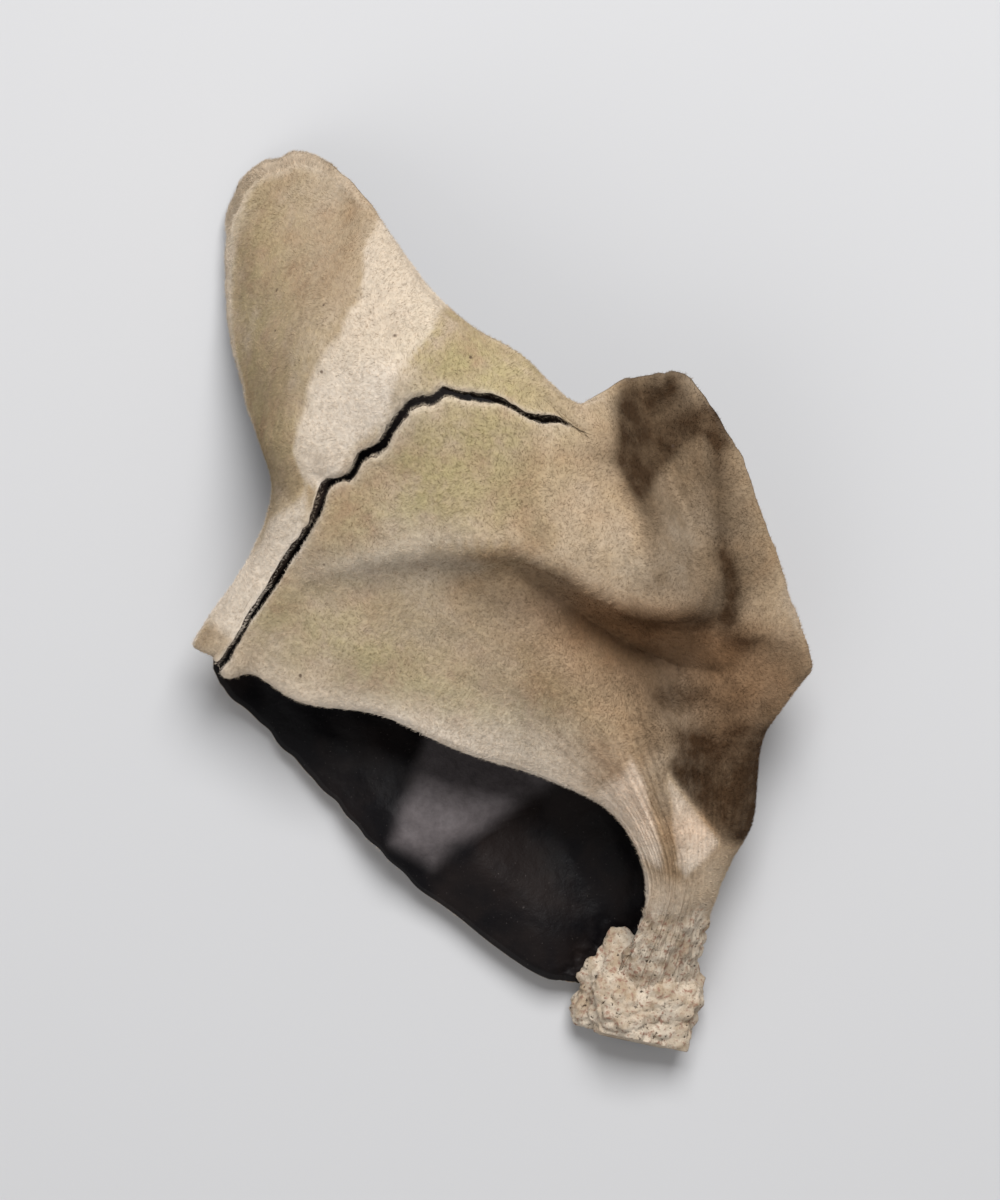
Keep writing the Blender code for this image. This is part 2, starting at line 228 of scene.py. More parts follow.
MARGIN_RAIL = [
    (0, -19.6, -4.8, 2.4),
    (5, -18.6, -1.0, 2.2),
    (10, -16.8, 3.0, 1.8),
    (16, -13.8, 7.6, 1.5),
    (22, -9.8, 12.8, 0.9),
    (28, -3.8, 15.8, 0.5),
    (35, 3.7, 13.4, 0.8),
    (40, 9.5, 8.6, 2.2),
    (44, 14.0, 4.6, 4.6),
    (48, 17.8, -0.8, 6.2),
    (51, 20.4, -4.6, 7.8),
    (55, 19.2, -0.8, 9.6),
    (59, 17.4, 4.0, 11.2),
    (63, 15.2, 9.6, 12.2),
    (67, 11.8, 14.6, 12.0),
    (71, 8.0, 14.2, 12.9),
    (73, 6.4, 13.0, 13.6),
    (74.6, 5.0, 12.3, 14.1),
    (76, 3.6, 13.1, 13.7),
    (77.4, 0.8, 15.7, 12.8),
    (79, -2.8, 18.0, 11.6),
    (81, -5.9, 21.2, 10.0),
    (84, -9.4, 26.6, 7.4),
    (86.5, -13.0, 30.4, 2.6),
    (88.2, -16.9, 30.2, 0.3),
    (89.6, -18.9, 27.9, 0.2),
    (91.5, -19.0, 22.0, 1.2),
    (94, -17.4, 14.0, 4.4),
    (96, -15.0, 7.6, 7.4),
    (98, -16.2, 3.2, 6.8),
    (100, -20.6, -3.0, 5.2),
]
RAILS = [KNEE_RAIL, BODY_RAIL, TEAR_RAIL, MARGIN_RAIL]

# Folds seen from above: reach to the left and right of the path, then its points as x, y and rise
FRONT_FOLDS = [
    # lip of the hump, a sharp step on its lower side
    (4.6, 0.6, [
        (-13.0, 1.6, 0.2), (-8.5, 2.9, 0.9), (-4.0, 3.7, 1.1), (1.0, 4.0, 1.3),
        (4.2, 2.9, 1.8), (8.0, 0.7, 2.0), (11.6, -0.2, 1.4), (14.0, -0.6, 0.0),
    ]),
    # valley under the lip
    (1.6, 4.2, [
        (-10.0, 0.4, -0.2), (-4.0, 1.6, -0.9), (1.5, 1.2, -1.7), (5.2, -1.2, -3.0),
        (8.6, -3.2, -4.2), (11.6, -4.4, -4.2), (14.6, -5.0, -1.4), (17.0, -5.2, 0.0),
    ]),
    # shoulder of the lower body, running down to the stub
    (1.5, 4.6, [
        (2.0, 0.4, 0.0), (5.6, -3.8, 1.0), (8.9, -6.9, 2.0), (11.0, -10.5, 2.0),
        (11.4, -14.5, 0.7), (11.8, -18.5, 0.1),
    ]),
    # hollow between the shoulder and the right-hand fold
    (1.8, 1.8, [(12.8, -7.0, -0.8), (13.4, -11.5, -0.9), (13.6, -15.5, -0.1)]),
    # ridge from the tear down to the lip
    (1.6, 2.6, [(6.0, 12.6, 0.5), (6.8, 8.6, 1.3), (8.4, 4.8, 1.8), (11.0, 0.8, 1.4)]),
    # hollow and raised rim at the upper right
    (2.2, 1.6, [
        (8.8, 15.0, -3.0), (9.4, 10.3, -3.0), (11.0, 6.6, -2.5), (12.4, 3.4, -1.0), (13.6, 1.2, 0.0),
    ]),
    (1.5, 1.5, [(12.0, 14.0, 0.6), (13.8, 8.0, 1.2), (15.0, 4.0, 0.0)]),
    # creases of the far lobe
    (7.0, 3.4, [
        (-8.1, 25.4, 1.2), (-9.4, 20.8, 2.6), (-12.2, 15.6, 3.2), (-13.6, 10.3, 2.4), (-12.8, 7.0, 0.8),
    ]),
    (2.2, 3.0, [(-2.4, 18.4, 0.8), (-6.5, 14.0, 1.4)]),
    # waves of the free side
    (1.6, 1.6, [(-4.4, -9.6, 0.8), (-3.4, -5.0, 0.3)]),
    (1.6, 1.6, [(1.4, -11.6, -0.8), (1.0, -6.0, -0.2)]),
    (1.4, 1.4, [(-13.0, -7.0, 0.7), (-10.0, -3.0, 0.3)]),
]
REAR_FOLDS = [
    (2.2, 2.2, [(4.0, -23.0, 1.0), (-3.0, -16.0, 1.3), (-9.0, -9.0, 0.6)]),
    (2.6, 2.6, [(6.0, -20.0, -0.3), (0.0, -10.0, -0.5), (-8.0, 0.0, -0.4)]),
    (2.4, 2.4, [(8.0, -18.0, 0.8), (6.0, -8.0, 1.1), (0.0, 2.0, 0.4)]),
    (3.2, 3.2, [(8.4, 2.0, -1.2), (5.0, 8.0, -1.2), (1.0, 12.4, -0.8)]),
    (1.1, 3.4, [(5.0, -10.8, 0.4), (0.4, -13.6, 1.3), (-6.6, -16.8, 1.0)]),
]

# How far the hump's lip leans over the valley: the way that it leans, then a fold whose rise is that lean
LIP_LEAN = np.array((0.25, -0.97, 0.0))
LIP_LEANING = (3.0, 0.7, [
    (-8.0, 3.0, 0.0), (-4.0, 3.7, 0.5), (1.0, 4.0, 1.0), (4.2, 2.9, 1.4), (8.0, 0.7, 1.5), (11.4, -0.2, 0.9),
    (13.4, -0.6, 0.0),
])

# How far the front wall's free side stands out in waves: place along the rib, then the reach
FREE_SIDE_OUTWARD = np.array((-0.35, -0.94, 0.0))
FREE_SIDE_WAVES = [
    (0.0, 0.0), (0.30, 0.0), (0.38, 0.4), (0.46, 0.9), (0.52, 0.4), (0.58, 1.1), (0.64, 0.2), (0.68, 0.7),
    (0.74, 0.1), (1.0, 0.0),
]
FREE_SIDE_WAVE_SHARES = 9.0

# Small nicks in the rear wall's free side
REAR_OUTWARD = np.array((-0.62, -0.78, 0.0))
REAR_NICK, REAR_NICKS_ALONG, REAR_NICK_ROW = 0.35, 17.0, 6.1
REAR_NICK_SHARES = 2.5
REAR_NICK_PLACES = (0.2, 0.4)


def smooth(low, high, value):
    """0 below low, 1 above high, and an S curve between."""
    share = np.clip((value - low) / (high - low), 0.0, 1.0)
    return share * share * (3 - 2 * share)


def noise_at(*axes):
    """Smooth noise from -1 to 1 at many points, given as an array or a number for each axis."""
    axes = np.broadcast_arrays(*axes)
    return np.array([noise.noise(point) for point in zip(*(axis.tolist() for axis in axes))])


def curve(knots, points, places):
    """Smooth curves without overshoot: each lane of points (knots, lanes, 3), read at a place of its own."""
    knots = np.array(knots, float)
    steps = np.diff(knots)
    secants = np.diff(points, axis=0) / steps[:, None, None]
    lengths = np.linalg.norm(secants, axis=2, keepdims=True) + NEVER_ZERO
    low, high = np.minimum(lengths[:-1], lengths[1:]), np.maximum(lengths[:-1], lengths[1:])
    headings = secants / lengths
    speeds = np.minimum(STEEPEST_SLOPE * low, 2 * low * high / (low + high))
    inner = (headings[:-1] + headings[1:]) / 2 * speeds
    slopes = np.concatenate([secants[:1], inner, secants[-1:]])
    lane = np.arange(len(places)) % points.shape[1]
    index = np.clip(np.searchsorted(knots, places, side="right") - 1, 0, len(steps) - 1)
    step = steps[index][:, None]
    t = (places - knots[index])[:, None] / step
    return (
        points[index, lane] * (2 * t**3 - 3 * t**2 + 1)
        + slopes[index, lane] * step * (t**3 - 2 * t**2 + t)
        + points[index + 1, lane] * (3 * t**2 - 2 * t**3)
        + slopes[index + 1, lane] * step * (t**3 - t**2)
    )


def rail_at(rail, share):
    rail = np.array(rail)
    return curve(rail[:, 0], rail[:, None, 1:], share)


def neck_at(share):
    """The sheet's start inside the stub: a flattened C, open on the left."""
    turn = np.radians(NECK_START_DEGREES + NECK_SWEEP_DEGREES * share / 100)
    across, up = NECK_SHIFT + NECK_HALF_WIDTH * np.cos(turn), NECK_HALF_HEIGHT * np.sin(turn)
    return np.array(STUB_CENTRE) + np.column_stack([across, np.full_like(turn, NECK_DEPTH), up])


def fold_at(x, y, left_reach, right_reach, path, rounding):
    """The rise of one fold at points seen from above: its crest's rise, fading to either side."""
    total = distance = side = rise = 0.0
    for (start_x, start_y, start_rise), (end_x, end_y, end_rise) in zip(path, path[1:]):
        span_x, span_y = end_x - start_x, end_y - start_y
        length = math.hypot(span_x, span_y)
        t = np.clip(((x - start_x) * span_x + (y - start_y) * span_y) / length**2, 0.0, 1.0)
        away_x, away_y = x - start_x - span_x * t, y - start_y - span_y * t
        away = np.hypot(away_x, away_y)
        weight = 1 / (away + PATH_BLEND) ** PATH_BLEND_POWER
        total = total + weight
        distance = distance + weight * away
        side = side + weight * (span_x * away_y - span_y * away_x) / (length * away + NEVER_ZERO)
        rise = rise + weight * (start_rise + (end_rise - start_rise) * t)
    distance, side, rise = distance / total, side / total, rise / total
    reach = (left_reach + right_reach + (left_reach - right_reach) * side) / 2
    rounded = np.hypot(distance, rounding) - rounding
    return rise * np.exp(-((rounded / reach) ** FLANK_SHAPE))


def folds_at(x, y, folds, rounding=CREST_ROUNDING):
    return sum(fold_at(x, y, *fold, rounding) for fold in folds)


def free_side_shift(share, place):
    """How far the waves of the front wall's free side, and the nicks in the rear wall's, move points."""
    wave = np.array([(knot, reach, 0.0, 0.0) for knot, reach in FREE_SIDE_WAVES])
    reach = curve(wave[:, 0], wave[:, None, 1:], place)[:, 0]
    reach *= smooth(100 - FREE_SIDE_WAVE_SHARES, 100, share)
    nicks = REAR_NICK * noise_at(place * REAR_NICKS_ALONG, REAR_NICK_ROW, 0.0)
    nicks *= (1 - smooth(0.0, REAR_NICK_SHARES, share)) * smooth(*REAR_NICK_PLACES, place)
    return reach[:, None] * FREE_SIDE_OUTWARD + nicks[:, None] * REAR_OUTWARD


def thickness_at(share, place):
    """Full in the middle, thinning to the margin and to both free sides."""
    free_side = np.maximum(
        1 - smooth(0, FREE_SIDE_SHARES, share), smooth(100 - FREE_SIDE_SHARES, 100, share)
    )
    edge = np.maximum(smooth(THINNING_PLACE, 1.0, place), free_side)
    return SHEET_THICKNESS * (1 - (1 - THIN_SHARE) * edge * smooth(*THICK_NECK_PLACES, place))


def drawn_in(share, place):
    """Places along ribs that the margin's bites, frays, nicks and round corners have shortened."""
    bitten = MARGIN_BITE * (1 + noise_at(share * MARGIN_BITES_ALONG, MARGIN_BITE_ROW, 0.0)) + MARGIN_INSET
    frays = smooth(FRAYED_SHARES[0] - 1, FRAYED_SHARES[0], share)
    bitten += FRAYED_INSET * frays * (1 - smooth(FRAYED_SHARES[1], FRAYED_SHARES[1] + 1, share))
    nicked = MARGIN_NICK * noise_at(share * MARGIN_NICKS_ALONG, MARGIN_NICK_ROW, place * MARGIN_NICKS_OUT)
    nicked *= smooth(NICK_START, 1.0, place)
    from_side = np.clip(np.minimum(share, 100 - share) / CORNER_SHARES, 0.0, 1.0)
    cornered = CORNER_ROUNDING * (1 - np.sqrt(1 - (1 - from_side) ** 2)) * smooth(CORNER_START, 1.0, place)
    return place - bitten * smooth(BITE_START, 1.0, place) - nicked - cornered


def sheet_points(share, place):
    """Points of the sheet's middle surface, in millimetres."""
    place = drawn_in(share, place)
    points = np.stack([neck_at(share)] + [rail_at(rail, share) for rail in RAILS])
    point = curve([0.0, KNEE_PLACE, BODY_PLACE, TEAR_PLACE, 1.0], points, place)
    x, y = point[:, 0], point[:, 1]
    in_front, behind = smooth(*FRONT_FOLDS_START, share), 1 - smooth(*REAR_FOLDS_END, share)
    roundings = [LIP_ROUNDING] + [CREST_ROUNDING] * (len(FRONT_FOLDS) - 1)
    folds = in_front * sum(fold_at(x, y, *fold, rounding) for fold, rounding in zip(FRONT_FOLDS, roundings))
    folds += behind * folds_at(x, y, REAR_FOLDS)
    across, along = share / 100 * SHEET_ACROSS, place * SHEET_ALONG
    broad = noise_at(across / BROAD_CRUMPLE_SIZE, along / BROAD_CRUMPLE_SIZE, 0.0)
    fine = noise_at(
        across / FINE_CRUMPLE_SIZE + FINE_CRUMPLE_OFFSET[0],
        along / FINE_CRUMPLE_SIZE + FINE_CRUMPLE_OFFSET[1],
        FINE_CRUMPLE_OFFSET[2],
    )
    crumple = BROAD_CRUMPLE * broad + FINE_CRUMPLE * fine
    point[:, 2] += smooth(0.0, FOLDED_PLACE, place) * folds + crumple * smooth(*CRUMPLE_PLACES, place)
    leaning = in_front * fold_at(x, y, *LIP_LEANING, LIP_ROUNDING)
    point += leaning[:, None] * LIP_LEAN + free_side_shift(share, place)
    point[:, 2] = np.maximum(point[:, 2], thickness_at(share, place) / 2 - PRESSED_FLAT)
    return point


def unit(vectors):
    """Vectors with the same headings, one long."""
    return vectors / np.linalg.norm(vectors, axis=1, keepdims=True)


def tear_shift(point, share, side, tip):
    """Moves points near the tear: along its jagged line, and apart on its sides (-1 and 1) past its tip."""
    before, middle, after = (
        sheet_points(share, np.full_like(share, TEAR_PLACE + step)) for step in (-ALONG_RIB, 0.0, ALONG_RIB)
    )
    outward = unit(after - before)
    jag = TEAR_JAG * noise_at(share * TEAR_JAGS_ALONG, TEAR_JAG_ROW, 0.0)
    teeth = TEAR_TEETH * noise_at(share * TEAR_TEETH_ALONG, side * TEAR_TEETH_ROW, 0.0)
    opened = np.clip((share - tip) / TEAR_OPENING_SHARES, 0.0, 1.0) ** 0.5
    fade = np.exp(-((np.linalg.norm(point - middle, axis=1) / TEAR_FADE) ** 2))
    return outward * (fade * opened * (jag + side * (TEAR_WIDTH / 2 + teeth)))[:, None]


def column_shares():
    """Shares at even steps of the sheet's width, taken half way between tear and margin."""
    fine = np.linspace(0.0, 100.0, FINE_COLUMNS + 1)
    line = (rail_at(TEAR_RAIL, fine) + rail_at(MARGIN_RAIL, fine)) / 2
    reached = np.append(0.0, np.cumsum(np.linalg.norm(np.diff(line, axis=0), axis=1)))
    return np.interp(np.linspace(0.0, reached[-1], COLUMNS + 1), reached, fine)


# The middle surface starts as a grid, split along the tear, and Solidify gives it its thickness.
rows = ROWS_TO_TEAR + ROWS_PAST_TEAR
shares = column_shares()
places = np.append(
    np.linspace(0.0, TEAR_PLACE, ROWS_TO_TEAR + 1), np.linspace(TEAR_PLACE, 1.0, ROWS_PAST_TEAR + 1)[1:]
)
tear_tip = shares[shares >= TEAR_START_SHARE][0]

bm = bmesh.new()
bmesh.ops.create_grid(bm, x_segments=COLUMNS, y_segments=rows, size=1.0)
column_of = bm.verts.layers.int.new("column")
row_of = bm.verts.layers.int.new("row")
for vert in bm.verts:
    vert[column_of] = round((1 - vert.co.x) / 2 * COLUMNS)
    vert[row_of] = round((vert.co.y + 1) / 2 * rows)
torn = [
    edge
    for edge in bm.edges
    if all(v[row_of] == ROWS_TO_TEAR and shares[v[column_of]] >= tear_tip for v in edge.verts)
]
bmesh.ops.split_edges(bm, edges=torn)
column = np.array([vert[column_of] for vert in bm.verts])
row = np.array([vert[row_of] for vert in bm.verts])
past = np.array([max(v[row_of] for face in vert.link_faces for v in face.verts) for vert in bm.verts])
share, place = shares[column], places[row]
point = sheet_points(share, place)
beside = share > tear_tip
bank = np.where(past > ROWS_TO_TEAR, 1.0, -1.0)
point[beside] += tear_shift(point[beside], share[beside], bank[beside], tear_tip)
from_edge = np.minimum(np.minimum(column, COLUMNS - column), rows - row)
rounded = np.where(from_edge == 0, LAST_ROW, np.where(from_edge == 1, ROW_BEFORE_LAST, 1.0))
thinning = rounded * (thickness_at(share, place) - NAP_DEPTH) / SHEET_THICKNESS
share_of = bm.verts.layers.float.new("share")
place_of = bm.verts.layers.float.new("place")
thinning_of = bm.verts.layers.deform.new()
point = (point + CENTRING) * MM
for vert, co, share_now, place_now, thin in zip(bm.verts, point, share, place, thinning):
    vert.co = co
    vert[share_of], vert[place_of] = share_now, place_now
    vert[thinning_of][0] = thin
sheet_mesh = mesh_of(bm, "flesh")
flesh = add_object("flesh", sheet_mesh)
flesh.vertex_groups.new(name="thinning")
for material_name in ("felted back", "dark inner skin", "bare rim"):
    sheet_mesh.materials.append(bpy.data.materials.new(material_name))
thicken = flesh.modifiers.new("thickness", "SOLIDIFY")
thicken.thickness = SHEET_THICKNESS * MM
thicken.offset = 0.0
thicken.vertex_group = "thinning"
thicken.material_offset = 1
thicken.material_offset_rim = 2
bpy.context.view_layer.update()
solid_mesh = bpy.data.meshes.new_from_object(flesh.evaluated_get(bpy.context.evaluated_depsgraph_get()))
flesh.modifiers.clear()

# The rim between the felt and the skin gets rounded rows of its own, and the tear's walls a ragged one.
FELT, SKIN, RIM = 0, 1, 2
RIM_CUTS = 3
RIM_ROUNDNESS = 0.8
MID_RIM = 0.5
TORN_RAGGEDNESS, TORN_TEETH_TO_MM = 0.10, 2.6
ON_TEAR, TORN_SHARES_END = 1e-4, 99.9

bm = bmesh.new()
bm.from_mesh(solid_mesh)
across_of = bm.verts.layers.float.new("across")
share_of, place_of = bm.verts.layers.float["share"], bm.verts.layers.float["place"]
for face in bm.faces:
    if face.material_index == SKIN:
        for vert in face.verts:
            vert[across_of] = 1.0
rungs = [edge for edge in bm.edges if all(face.material_index == RIM for face in edge.link_faces)]
bmesh.ops.subdivide_edges(bm, edges=rungs, cuts=RIM_CUTS, use_grid_fill=True)
bm.normal_update()
for vert in bm.verts:
    if 0 < vert[across_of] < 1:
        half = thickness_at(vert[share_of], vert[place_of]) / 2
        bulge = RIM_ROUNDNESS * half * math.sin(math.pi * vert[across_of])
        if abs(vert[place_of] - TEAR_PLACE) < ON_TEAR and tear_tip <= vert[share_of] < TORN_SHARES_END:
            bulge = TORN_RAGGEDNESS * noise.noise(vert.co / MM * TORN_TEETH_TO_MM)
        vert.co += vert.normal * bulge * MM
bm.normal_update()
bm.to_mesh(solid_mesh)
bm.free()
flesh.data = solid_mesh
bpy.data.meshes.remove(sheet_mesh)


def read_rows(collection, name, width, kind=np.float32):
    """A row of numbers for each vertex, face or attribute value of a mesh."""
    values = np.empty(len(collection) * width, kind)
    collection.foreach_get(name, values)
    return values.reshape(-1, width)


def read_floats(mesh, name):
    return read_rows(mesh.attributes[name].data, "value", 1)[:, 0]


def write_floats(mesh, name, values):
    if name not in mesh.attributes:
        mesh.attributes.new(name, "FLOAT", "POINT")
    mesh.attributes[name].data.foreach_set("value", np.asarray(values, np.float32))


# Relief: soft dents and lumps under the felt, wrinkles along the leg, and fine veins on the inner skin.
# Depths in millimetres, the sizes that they repeat at, and shifts that keep them from falling together.
DENTS, DENT_SIZE = 0.15, 3.4
LUMPS, LUMP_SIZE, LUMP_SHIFT = 0.06, 1.2, 5.0
LEG_WRINKLES, LEG_WRINKLES_ACROSS, LEG_WRINKLES_ALONG, LEG_WRINKLE_SHIFT = 0.12, 0.9, 4.0, 3.0
LEG_PLACES = (0.25, 0.55)
VEINS, VEIN_SIZE, VEIN_SHIFT, VEIN_CREST = 0.14, 3.0, 9.0, 0.4
SKIN_WRINKLES, SKIN_WRINKLE_SIZE = 0.04, 0.8
CLEAR_OF_TABLE = 0.05

# The foot's crumbs and the cracks between them, and the ragged line where they give way to felt
CRUMB_DEPTH, CRUMB_SIZE, CRUMB_STEEPNESS, CRUMB_RISE = 0.35, 1.1, 1.6, 0.10
CRACK_DEPTH, CRACK_SIZE = 0.22, 0.42
CRUMBLY_PLACES = (0.095, 0.155)
RAGS, RAG_WIDTH, RAG_LENGTH = 0.020, 1.1, 2.4


def noise_of_size(point, size, shift=0.0):
    """Noise at points, with features of a size in millimetres."""
    x, y, z = point.T / size
    return noise_at(x, y, z + shift)


def crumbs_at(point):
    """How far the crumbly flesh of the stub is sunk at points, in millimetres."""
    sunk = []
    for co in point.tolist():
        spread, _ = noise.voronoi(Vector(co) / CRUMB_SIZE)
        crumb = CRUMB_DEPTH * (1.0 - min(1.0, CRUMB_STEEPNESS * (spread[1] - spread[0])))
        sunk.append(crumb + CRACK_DEPTH * abs(noise.noise(Vector(co) / CRACK_SIZE)))
    return np.array(sunk)


share, place, across = (read_floats(solid_mesh, name) for name in ("share", "place", "across"))
point = read_rows(solid_mesh.vertices, "co", 3) / MM
outward = read_rows(solid_mesh.vertex_normals, "vector", 3)
x, y, z = point.T
ragged = place + RAGS * noise_at(x / RAG_WIDTH, y / RAG_LENGTH, z / RAG_WIDTH)
crumbly = 1 - smooth(*CRUMBLY_PLACES, ragged)
write_floats(solid_mesh, "crumbly", crumbly)
near_stub = crumbly > 0
dents = DENTS * noise_of_size(point, DENT_SIZE)
lumps = LUMPS * noise_of_size(point, LUMP_SIZE, LUMP_SHIFT)
creased = noise_at(share * LEG_WRINKLES_ACROSS, place * LEG_WRINKLES_ALONG, across + LEG_WRINKLE_SHIFT)
wrinkles = LEG_WRINKLES * creased * (1 - smooth(*LEG_PLACES, place))
veins = VEINS * (VEIN_CREST - np.abs(noise_of_size(point, VEIN_SIZE, VEIN_SHIFT)))
fine = SKIN_WRINKLES * noise_of_size(point, SKIN_WRINKLE_SIZE)
on_felt, on_skin = 1 - smooth(0.0, MID_RIM, across), smooth(MID_RIM, 1.0, across)
raised = on_felt * (dents + lumps + wrinkles) + on_skin * (-dents + veins + fine)
raised[near_stub] += crumbly[near_stub] * (CRUMB_RISE - crumbs_at(point[near_stub]))
point += outward * raised[:, None]
point[:, 2] = np.maximum(point[:, 2], CLEAR_OF_TABLE)
solid_mesh.vertices.foreach_set("co", (point * MM).ravel())
solid_mesh.update()
solid_mesh.polygons.foreach_set("use_smooth", [True] * len(solid_mesh.polygons))

# Paint, in millimetres seen from above: painted highlight on panels and streaks, over some pale felt; painted
# shade, over some brown felt, in deep places and on slopes turned from the light; a reddish tinge that
# deepens that shade and warms the felt; yellowish felt; and a painted grey sheen, for light reflected off a
# facet inside. A panel is an outline, its edge's softness and its strength, and a streak, hollow or place is
# given as a fold is, with its strength for its rise.
# Pale panels: painted highlight where the light catches the lobe's middle facet, the strip beside the tear
# and the leg's facets, over some paler felt.
PALE_AND_LIT_PANELS = [
    ([(-7.8, 25.4), (-5.4, 24.2), (-4.4, 21.8), (-3.0, 19.6), (-3.5, 18.7), (-4.0, 18.0), (-5.0, 16.4),
      (-6.5, 14.2), (-7.1, 12.5), (-8.3, 10.3), (-10.2, 8.3), (-11.7, 6.9), (-12.5, 7.1), (-13.6, 9.3),
      (-13.2, 11.1), (-12.5, 13.2), (-11.3, 15.6), (-9.7, 18.0), (-9.1, 19.0), (-9.0, 20.4), (-8.9, 22.6),
      (-8.3, 24.4)], 0.12, 0.6),
    ([(-5.6, 14.4), (-6.9, 12.2), (-8.3, 10.3), (-10.2, 8.3), (-11.7, 6.9), (-12.5, 7.1), (-13.4, 9.3),
      (-13.0, 11.1), (-12.2, 13.0), (-10.8, 14.8)], 0.9, 0.35),
    ([(-12.6, 6.7), (-13.2, 3.0), (-16.2, -1.0), (-17.6, -3.0), (-19.4, -1.6), (-17.9, 1.4), (-15.0, 5.0)],
     0.4, 0.85),
    ([(2.6, 10.6), (4.8, 11.4), (7.2, 11.8), (7.9, 8.6), (8.7, 4.6), (9.2, 2.0), (8.0, 0.4), (5.0, 1.2),
      (3.4, 2.6), (2.2, 6.5)], 0.6, 0.22),
    ([(8.5, -10.8), (6.0, -13.6), (8.0, -16.2), (10.4, -17.8), (9.4, -12.8)], 0.35, 1.0),
    ([(10.9, -11.6), (14.2, -16.0), (12.2, -18.4), (11.3, -17.6)], 0.3, 0.9),
]
# Pale streaks: painted highlight on slopes that face the light, with some paler felt along the front wall's
# margin and by the foot.
PALE_AND_LIT_STREAKS = [
    (1.6, 1.6, [(-12.0, -6.4, 0.2), (-6.0, -8.4, 0.5), (0.0, -9.8, 0.6), (5.0, -12.0, 0.6)]),
    (2.4, 1.6, [(-5.0, -7.8, 0.05), (-2.0, -8.2, 0.2), (1.0, -8.8, 0.32), (4.0, -9.6, 0.36),
                (6.0, -10.6, 0.1)]),
    (2.0, 2.0, [(4.4, -3.0, 0.0), (8.0, -7.2, 0.3), (9.0, -11.0, 0.3)]),
    (2.4, 2.4, [(-11.4, 26.4, 0.16), (-11.8, 22.6, 0.17), (-12.6, 18.8, 0.08)]),
    (1.4, 1.4, [(-12.4, 1.8, 0.12), (-9.0, 1.4, 0.14), (-6.0, 1.1, 0.15), (-4.0, 0.8, 0.08)]),
    (0.9, 0.9, [(9.8, 9.6, 0.05), (10.2, 7.8, 0.15), (12.5, 7.0, 0.16)]),
    (1.2, 1.2, [(14.6, -4.6, 0.14), (16.6, -5.8, 0.16), (18.0, -7.2, 0.16)]),
    (1.2, 1.2, [(14.0, -11.8, 0.08), (15.0, -13.4, 0.18)]),
    (1.2, 0.5, [(-12.6, 1.4, 0.2), (-9.0, 2.1, 0.3), (-4.9, 3.4, 0.45), (0.4, 3.2, 0.3), (2.8, 2.4, 0.25)]),
    (2.8, 2.8, [(11.0, -18.8, 0.4), (9.6, -23.0, 0.8)]),
    (2.2, 2.2, [(-6.7, 11.4, 0.16), (-7.6, 8.0, 0.10), (-6.7, 4.8, 0.18)]),
    (0.8, 0.8, [(-9.6, 1.7, 0.24), (-7.0, 2.1, 0.36), (-5.0, 2.3, 0.5), (-3.0, 2.2, 0.38), (-1.0, 2.0, 0.2),
                (1.0, 1.9, 0.12)]),
    (2.4, 2.4, [(-12.6, -1.2, 0.10), (-6.0, -2.6, 0.04), (0.2, -4.4, 0.16)]),
]
# Brown panels: painted shade on walls and facets turned from the light or lying under the lip, over the
# felt's own browner tone.
BROWN_AND_SHADED_PANELS = [
    ([(10.9, -10.6), (12.4, -9.8), (19.6, -10.2), (19.6, -16.6), (14.3, -16.2), (12.7, -14.4), (11.0, -12.0)],
     0.5, 0.72),
    ([(11.4, -8.8), (19.6, -8.0), (19.6, -16.6), (15.4, -15.8), (13.4, -13.8), (11.8, -11.4)], 1.0, 0.62),
    ([(7.5, 16.5), (15.0, 16.5), (14.6, 9.6), (13.2, 10.6), (10.8, 9.0), (9.0, 6.6), (7.5, 8.6)], 0.9, 0.74),
    ([(8.2, -0.7), (12.0, -0.7), (15.2, -0.8), (15.6, -2.0), (12.0, -2.1), (8.2, -1.7)], 0.6, 0.5),
    ([(8.4, 7.0), (8.9, 5.0), (8.8, 2.6), (9.4, 0.6), (12.0, -0.9), (14.6, -1.2), (18.0, 1.0), (18.0, 8.0),
      (14.0, 12.4), (10.0, 10.5)], 1.1, 0.4),
    ([(14.6, -2.4), (21.0, -3.0), (21.0, -5.4), (17.6, -7.8), (15.4, -7.0), (13.8, -4.6)], 0.8, 0.45),
]
